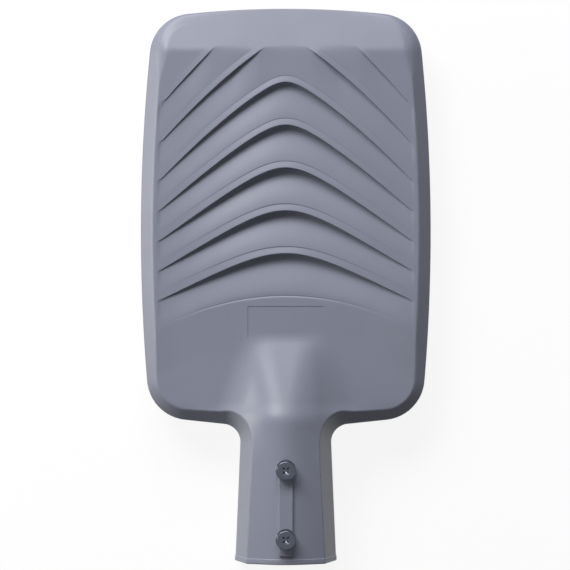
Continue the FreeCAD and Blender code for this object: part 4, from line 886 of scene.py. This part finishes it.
# Driver and its neighbours in the bay: the potted driver in a drawn case, a surge protector, a
# terminal block and the earth screw with its ring, each screwed to the casting.
def drawn_case(place):
    """Drawn aluminium: grain stretched along x, in tone and polish."""
    grain = place.node("ShaderNodeMapping", {}, {"Vector": place, "Scale": (6.0, 900.0, 900.0)}).noise(1.0)
    return {
        "Base Color": grain.mixed(colour(174, 176, 179), colour(190, 192, 195)),
        "Roughness": 0.34 + grain * 0.12,
    }


dress(finish("drawn_case", drawn_case, Metallic=1.0), "led_driver")


def blue_case(place):
    """Dark blue plastic with a fine spark texture."""
    return {
        "Base Color": place.noise(0.01).mixed(colour(40, 51, 76), colour(46, 57, 83)),
        "Normal": place.noise(0.0007).bumped(0.00002),
    }


dress(finish("blue_case", blue_case, Roughness=0.4), "surge_protector")


def brass(place):
    """Brass with clouds of tone and a finer change of polish."""
    return {
        "Base Color": place.noise(0.002).mixed(colour(196, 156, 74), colour(208, 170, 92)),
        "Roughness": 0.3 + place.noise(0.001) * 0.15,
    }


dress(finish("brass", brass, Metallic=1.0), "earth_washer", "earth_screw")


def zinc_plate(place):
    """Dull blue-grey plate with fine streaks."""
    streaks = place.noise(0.0008)
    return {
        "Base Color": streaks.mixed(colour(72, 76, 86), colour(88, 92, 103)),
        "Roughness": 0.2 + streaks * 0.1,
    }


zinc = finish("zinc_plate", zinc_plate, Metallic=1.0)
dress(white_plastic, "terminal_block")
dress(zinc, "terminal_screws")
dress(steel, "driver_screws", "surge_screw", "block_screw")


# Leads. Insulated wires join the terminal block to the driver and to the surge protector, and run
# from the driver through a rubber grommet to the lamp.
def insulation(place):
    """Red plastic with a faint grain."""
    return {
        "Base Color": place.noise(0.006).mixed(colour(170, 32, 28), colour(184, 42, 34)),
        "Normal": place.noise(0.0009).bumped(0.00002),
    }


dress(finish("insulation", insulation, Roughness=0.42), "lamp_leads", "mains_leads", "surge_leads")


def rubber(place):
    """Black rubber with a fine grain."""
    return {
        "Base Color": place.noise(0.006).mixed(colour(26, 26, 27), colour(34, 34, 35)),
        "Normal": place.noise(0.0008).bumped(0.00004),
    }


dress(finish("rubber", rubber, Roughness=0.65), "wire_grommet")


# Cable gland. Body, locknut and cap are moulded in nylon with a fine spark texture, and so is the
# vent plug. The cap squeezes a silicone seal round the cable.
def black_nylon(place):
    """Black nylon with clouds of tone, patches of polish and a spark texture."""
    return {
        "Base Color": place.noise(0.005).mixed(colour(30, 30, 32), colour(40, 40, 42)),
        "Roughness": 0.45 + place.noise(0.001) * 0.2,
        "Normal": place.noise(0.0005).bumped(0.00004),
    }


nylon = finish("black_nylon", black_nylon)
dress(nylon, "gland_body", "gland_locknut", "breather_vent")
dress(seal_rubber, "gland_seal")


def ribbed_cap(ribs=18, steps=216):
    """The gland's cap: a domed profile turned about the cable's line, its skirt waved into grips.

    A grip is the radius less a rounded wave of the angle, faded in over the skirt's first 2 mm.
    """
    end, skirt_start, skirt_end = 96, 101, 111
    skirt_radius, least_outer_radius, grip_depth, grip_fade = 11, 10.5, 0.5, 2
    profile = [(end, 5), *quarter((end, 6.5), (end, 9), (99, 10.4), 6), (skirt_start, 10.9)]
    profile += [(station, skirt_radius) for station in (101.5, 102, 103.5, 108, 110.2)]
    profile += [(skirt_end, 10.6), (skirt_end, 9.5), (98, 9.5), (97.5, 9), (97.5, 5), (end, 5)]
    station, radius = np.array(profile).T[:, :, None]
    turn = np.linspace(0, 2 * np.pi, steps, endpoint=False)
    skirt = eased((station - skirt_start) / grip_fade) * (radius > least_outer_radius)
    radius = radius - grip_depth * skirt * np.abs(np.sin(ribs / 2 * turn))**3
    x, z = radius * np.cos(turn), radius * np.sin(turn) + gland_level
    points, faces = carried(np.stack([x, station + 0 * x, z], axis=-1))
    return points, faces[:-2]


cap = made("ribbed_gland_cap", ribbed_cap())
cap.data.materials.append(nylon)
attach(cap, "root")
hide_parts("gland_cap")


# Cover. A coated plate closes the driver bay from below, on a silicone seal. Eight screws like those
# of the glass frame hold it.
dress(coat, "driver_cover")
dress(seal_rubber, "cover_gasket")
pan_head_screws("crossed_cover_screws", "cover_screws", both_sides(
    (98.25, 140), (98.25, 176.5), (49.13, 121.75), (49.13, 194.75)))


# Clamp screws. Two zinc-plated pan head screws with crossed recesses go through the rib, each over
# a washer, and press on the pole's end in the spigot, so they are fitted last.
def collar(profile, place, steps):
    """A profile of (height, radius) pairs, closed and turned about an upright axis: a ring."""
    points, faces = turned(profile + profile[:1], place, steps=steps)
    return points, faces[:-2]


screw_tip, head_under, head_top = 30.8, 39.15, 44.75
shank_radius, head_radius, tip_chamfer = 4, 7.4, 0.8
crown_drop, crown_inset, edge_break = 1.5, 1.7, 0.3
washer_radius, washer_hole, washer_crown = 8.1, 4.3, 0.4
screw_places = [(0, y) for y in clamp_screw_y]
screw_profile = [(screw_tip, shank_radius - tip_chamfer), (screw_tip + tip_chamfer, shank_radius),
                 (head_under, shank_radius), (head_under, head_radius - edge_break),
                 (head_under + edge_break, head_radius)]
screw_profile += quarter((head_top - crown_drop, head_radius), (head_top, head_radius),
                         (head_top, head_radius - crown_inset), 6)
pit_profile = [(head_top - 2, 0.6), (head_top, 4), (head_top + 0.5, 4.9)]
screws = made("crossed_clamp_screws",
              *(turned(screw_profile, (*place, 0), steps=72) for place in screw_places))
carve(screws, "DIFFERENCE", *(cross_pit(place, head_top, 1, -1) for place in screw_places))
carve(screws, "DIFFERENCE", *(turned(pit_profile, (*place, 0)) for place in screw_places))
screws.data.materials.append(zinc)
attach(screws, "root")
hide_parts("clamp_screws")
washer_profile = [(rib_top, washer_hole), (rib_top, washer_radius - edge_break),
                  (rib_top + edge_break, washer_radius), (head_under - washer_crown, washer_radius),
                  (head_under, washer_radius - washer_crown), (head_under, washer_hole)]
washers = made("pressed_clamp_washers",
               *(collar(washer_profile, (*place, 0), 72) for place in screw_places))
washers.data.materials.append(zinc)
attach(washers, "root")
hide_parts("clamp_washers")


# Floor, light and camera. The head lies on a pale floor, lit by two big soft lamps ahead of its nose
# and to the left, two low ones that catch the left bevel, and a dim sky that looks white to the
# camera and in reflections. The camera looks straight down.
def seen_straight(tree):
    """1 for what the camera sees, also in a reflection or through glass, and 0 for scattered light."""
    ray = tree.nodes.new("ShaderNodeLightPath").outputs
    seen = Socket(ray["Is Camera Ray"]) + Socket(ray["Is Glossy Ray"]) + Socket(ray["Is Transmission Ray"])
    return seen.maths("MINIMUM", seen, 1.0)


floor_half, floor_gap = 3.0, 0.0002
floor_x, floor_y = np.meshgrid([-floor_half, floor_half], [-floor_half, floor_half])
floor_z = np.full(4, cad_box[0][2] - floor_gap)
floor_corners = np.column_stack([floor_x.ravel(), floor_y.ravel(), floor_z])
floor_mesh = bpy.data.meshes.new("floor")
floor_mesh.from_pydata(floor_corners.tolist(), [], [(0, 1, 3, 2)])
floor = bpy.data.objects.new("floor", floor_mesh)
bpy.context.scene.collection.objects.link(floor)

floor_paint = bpy.data.materials.new("pale_floor")
seen = seen_straight(emptied_tree(floor_paint))
paper = seen.mixed(colour(120, 122, 126), colour(248, 248, 249))
matt = seen.node("ShaderNodeBsdfDiffuse", {}, {"Color": paper})
white = seen.node("ShaderNodeEmission", {}, {"Color": (1.0, 1.0, 1.0, 1.0), "Strength": 1.05})
pale = seen.node("ShaderNodeMixShader", {}, {0: seen * 0.85, 1: matt, 2: white})
pale.node("ShaderNodeOutputMaterial", {}, {"Surface": pale})
floor_mesh.materials.append(floor_paint)

sky = bpy.data.worlds.new("dim_sky")
bpy.context.scene.world = sky
sky_seen = seen_straight(emptied_tree(sky))
haze = sky_seen.mixed(colour(48, 50, 54), colour(255, 255, 255))
air = sky_seen.node("ShaderNodeBackground", {}, {"Color": haze})
air.node("ShaderNodeOutputWorld", {}, {"Surface": air})


def soft_lamp(name, place, aim, width, power, tint=(1, 1, 1)):
    """A square area lamp at a place, turned towards a point: width in metres, power in watts."""
    lamp = bpy.data.lights.new(name, "AREA")
    lamp.size = width
    lamp.energy = power
    lamp.color = tint
    stand = bpy.data.objects.new(name, lamp)
    stand.location = place
    stand.rotation_mode = "QUATERNION"
    direction = np.array(aim) - np.array(place)
    stand.rotation_quaternion = Vector(direction).to_track_quat("-Z", "Y")
    bpy.context.scene.collection.objects.link(stand)


head_middle = (0.0, 0.22, 0.0)
warm = (1, 0.97, 0.88)
soft_lamp("front_lamp", (0.0, 3.2, 1.9), head_middle, 1.3, 51.0)
soft_lamp("front_left_lamp", (-1.1, 2.1, 1.75), head_middle, 1.2, 49.0)
soft_lamp("low_left_lamp", (-1.15, 1.25, 0.4), head_middle, 0.6, 2.0, warm)
soft_lamp("left_edge_lamp", (-1.4, 0.35, 0.3), head_middle, 0.6, 8.0, warm)

view_middle = (-0.00064, 0.2203)
view_width, camera_height = 0.456, 2.03
lens = bpy.data.cameras.new("camera")
lens.sensor_fit = "HORIZONTAL"
lens.angle = 2 * atan(view_width / 2 / camera_height)
camera = bpy.data.objects.new("camera", lens)
camera.location = (*view_middle, camera_height)
bpy.context.scene.collection.objects.link(camera)
bpy.context.scene.camera = camera
bpy.context.scene.view_settings.view_transform = "Standard"
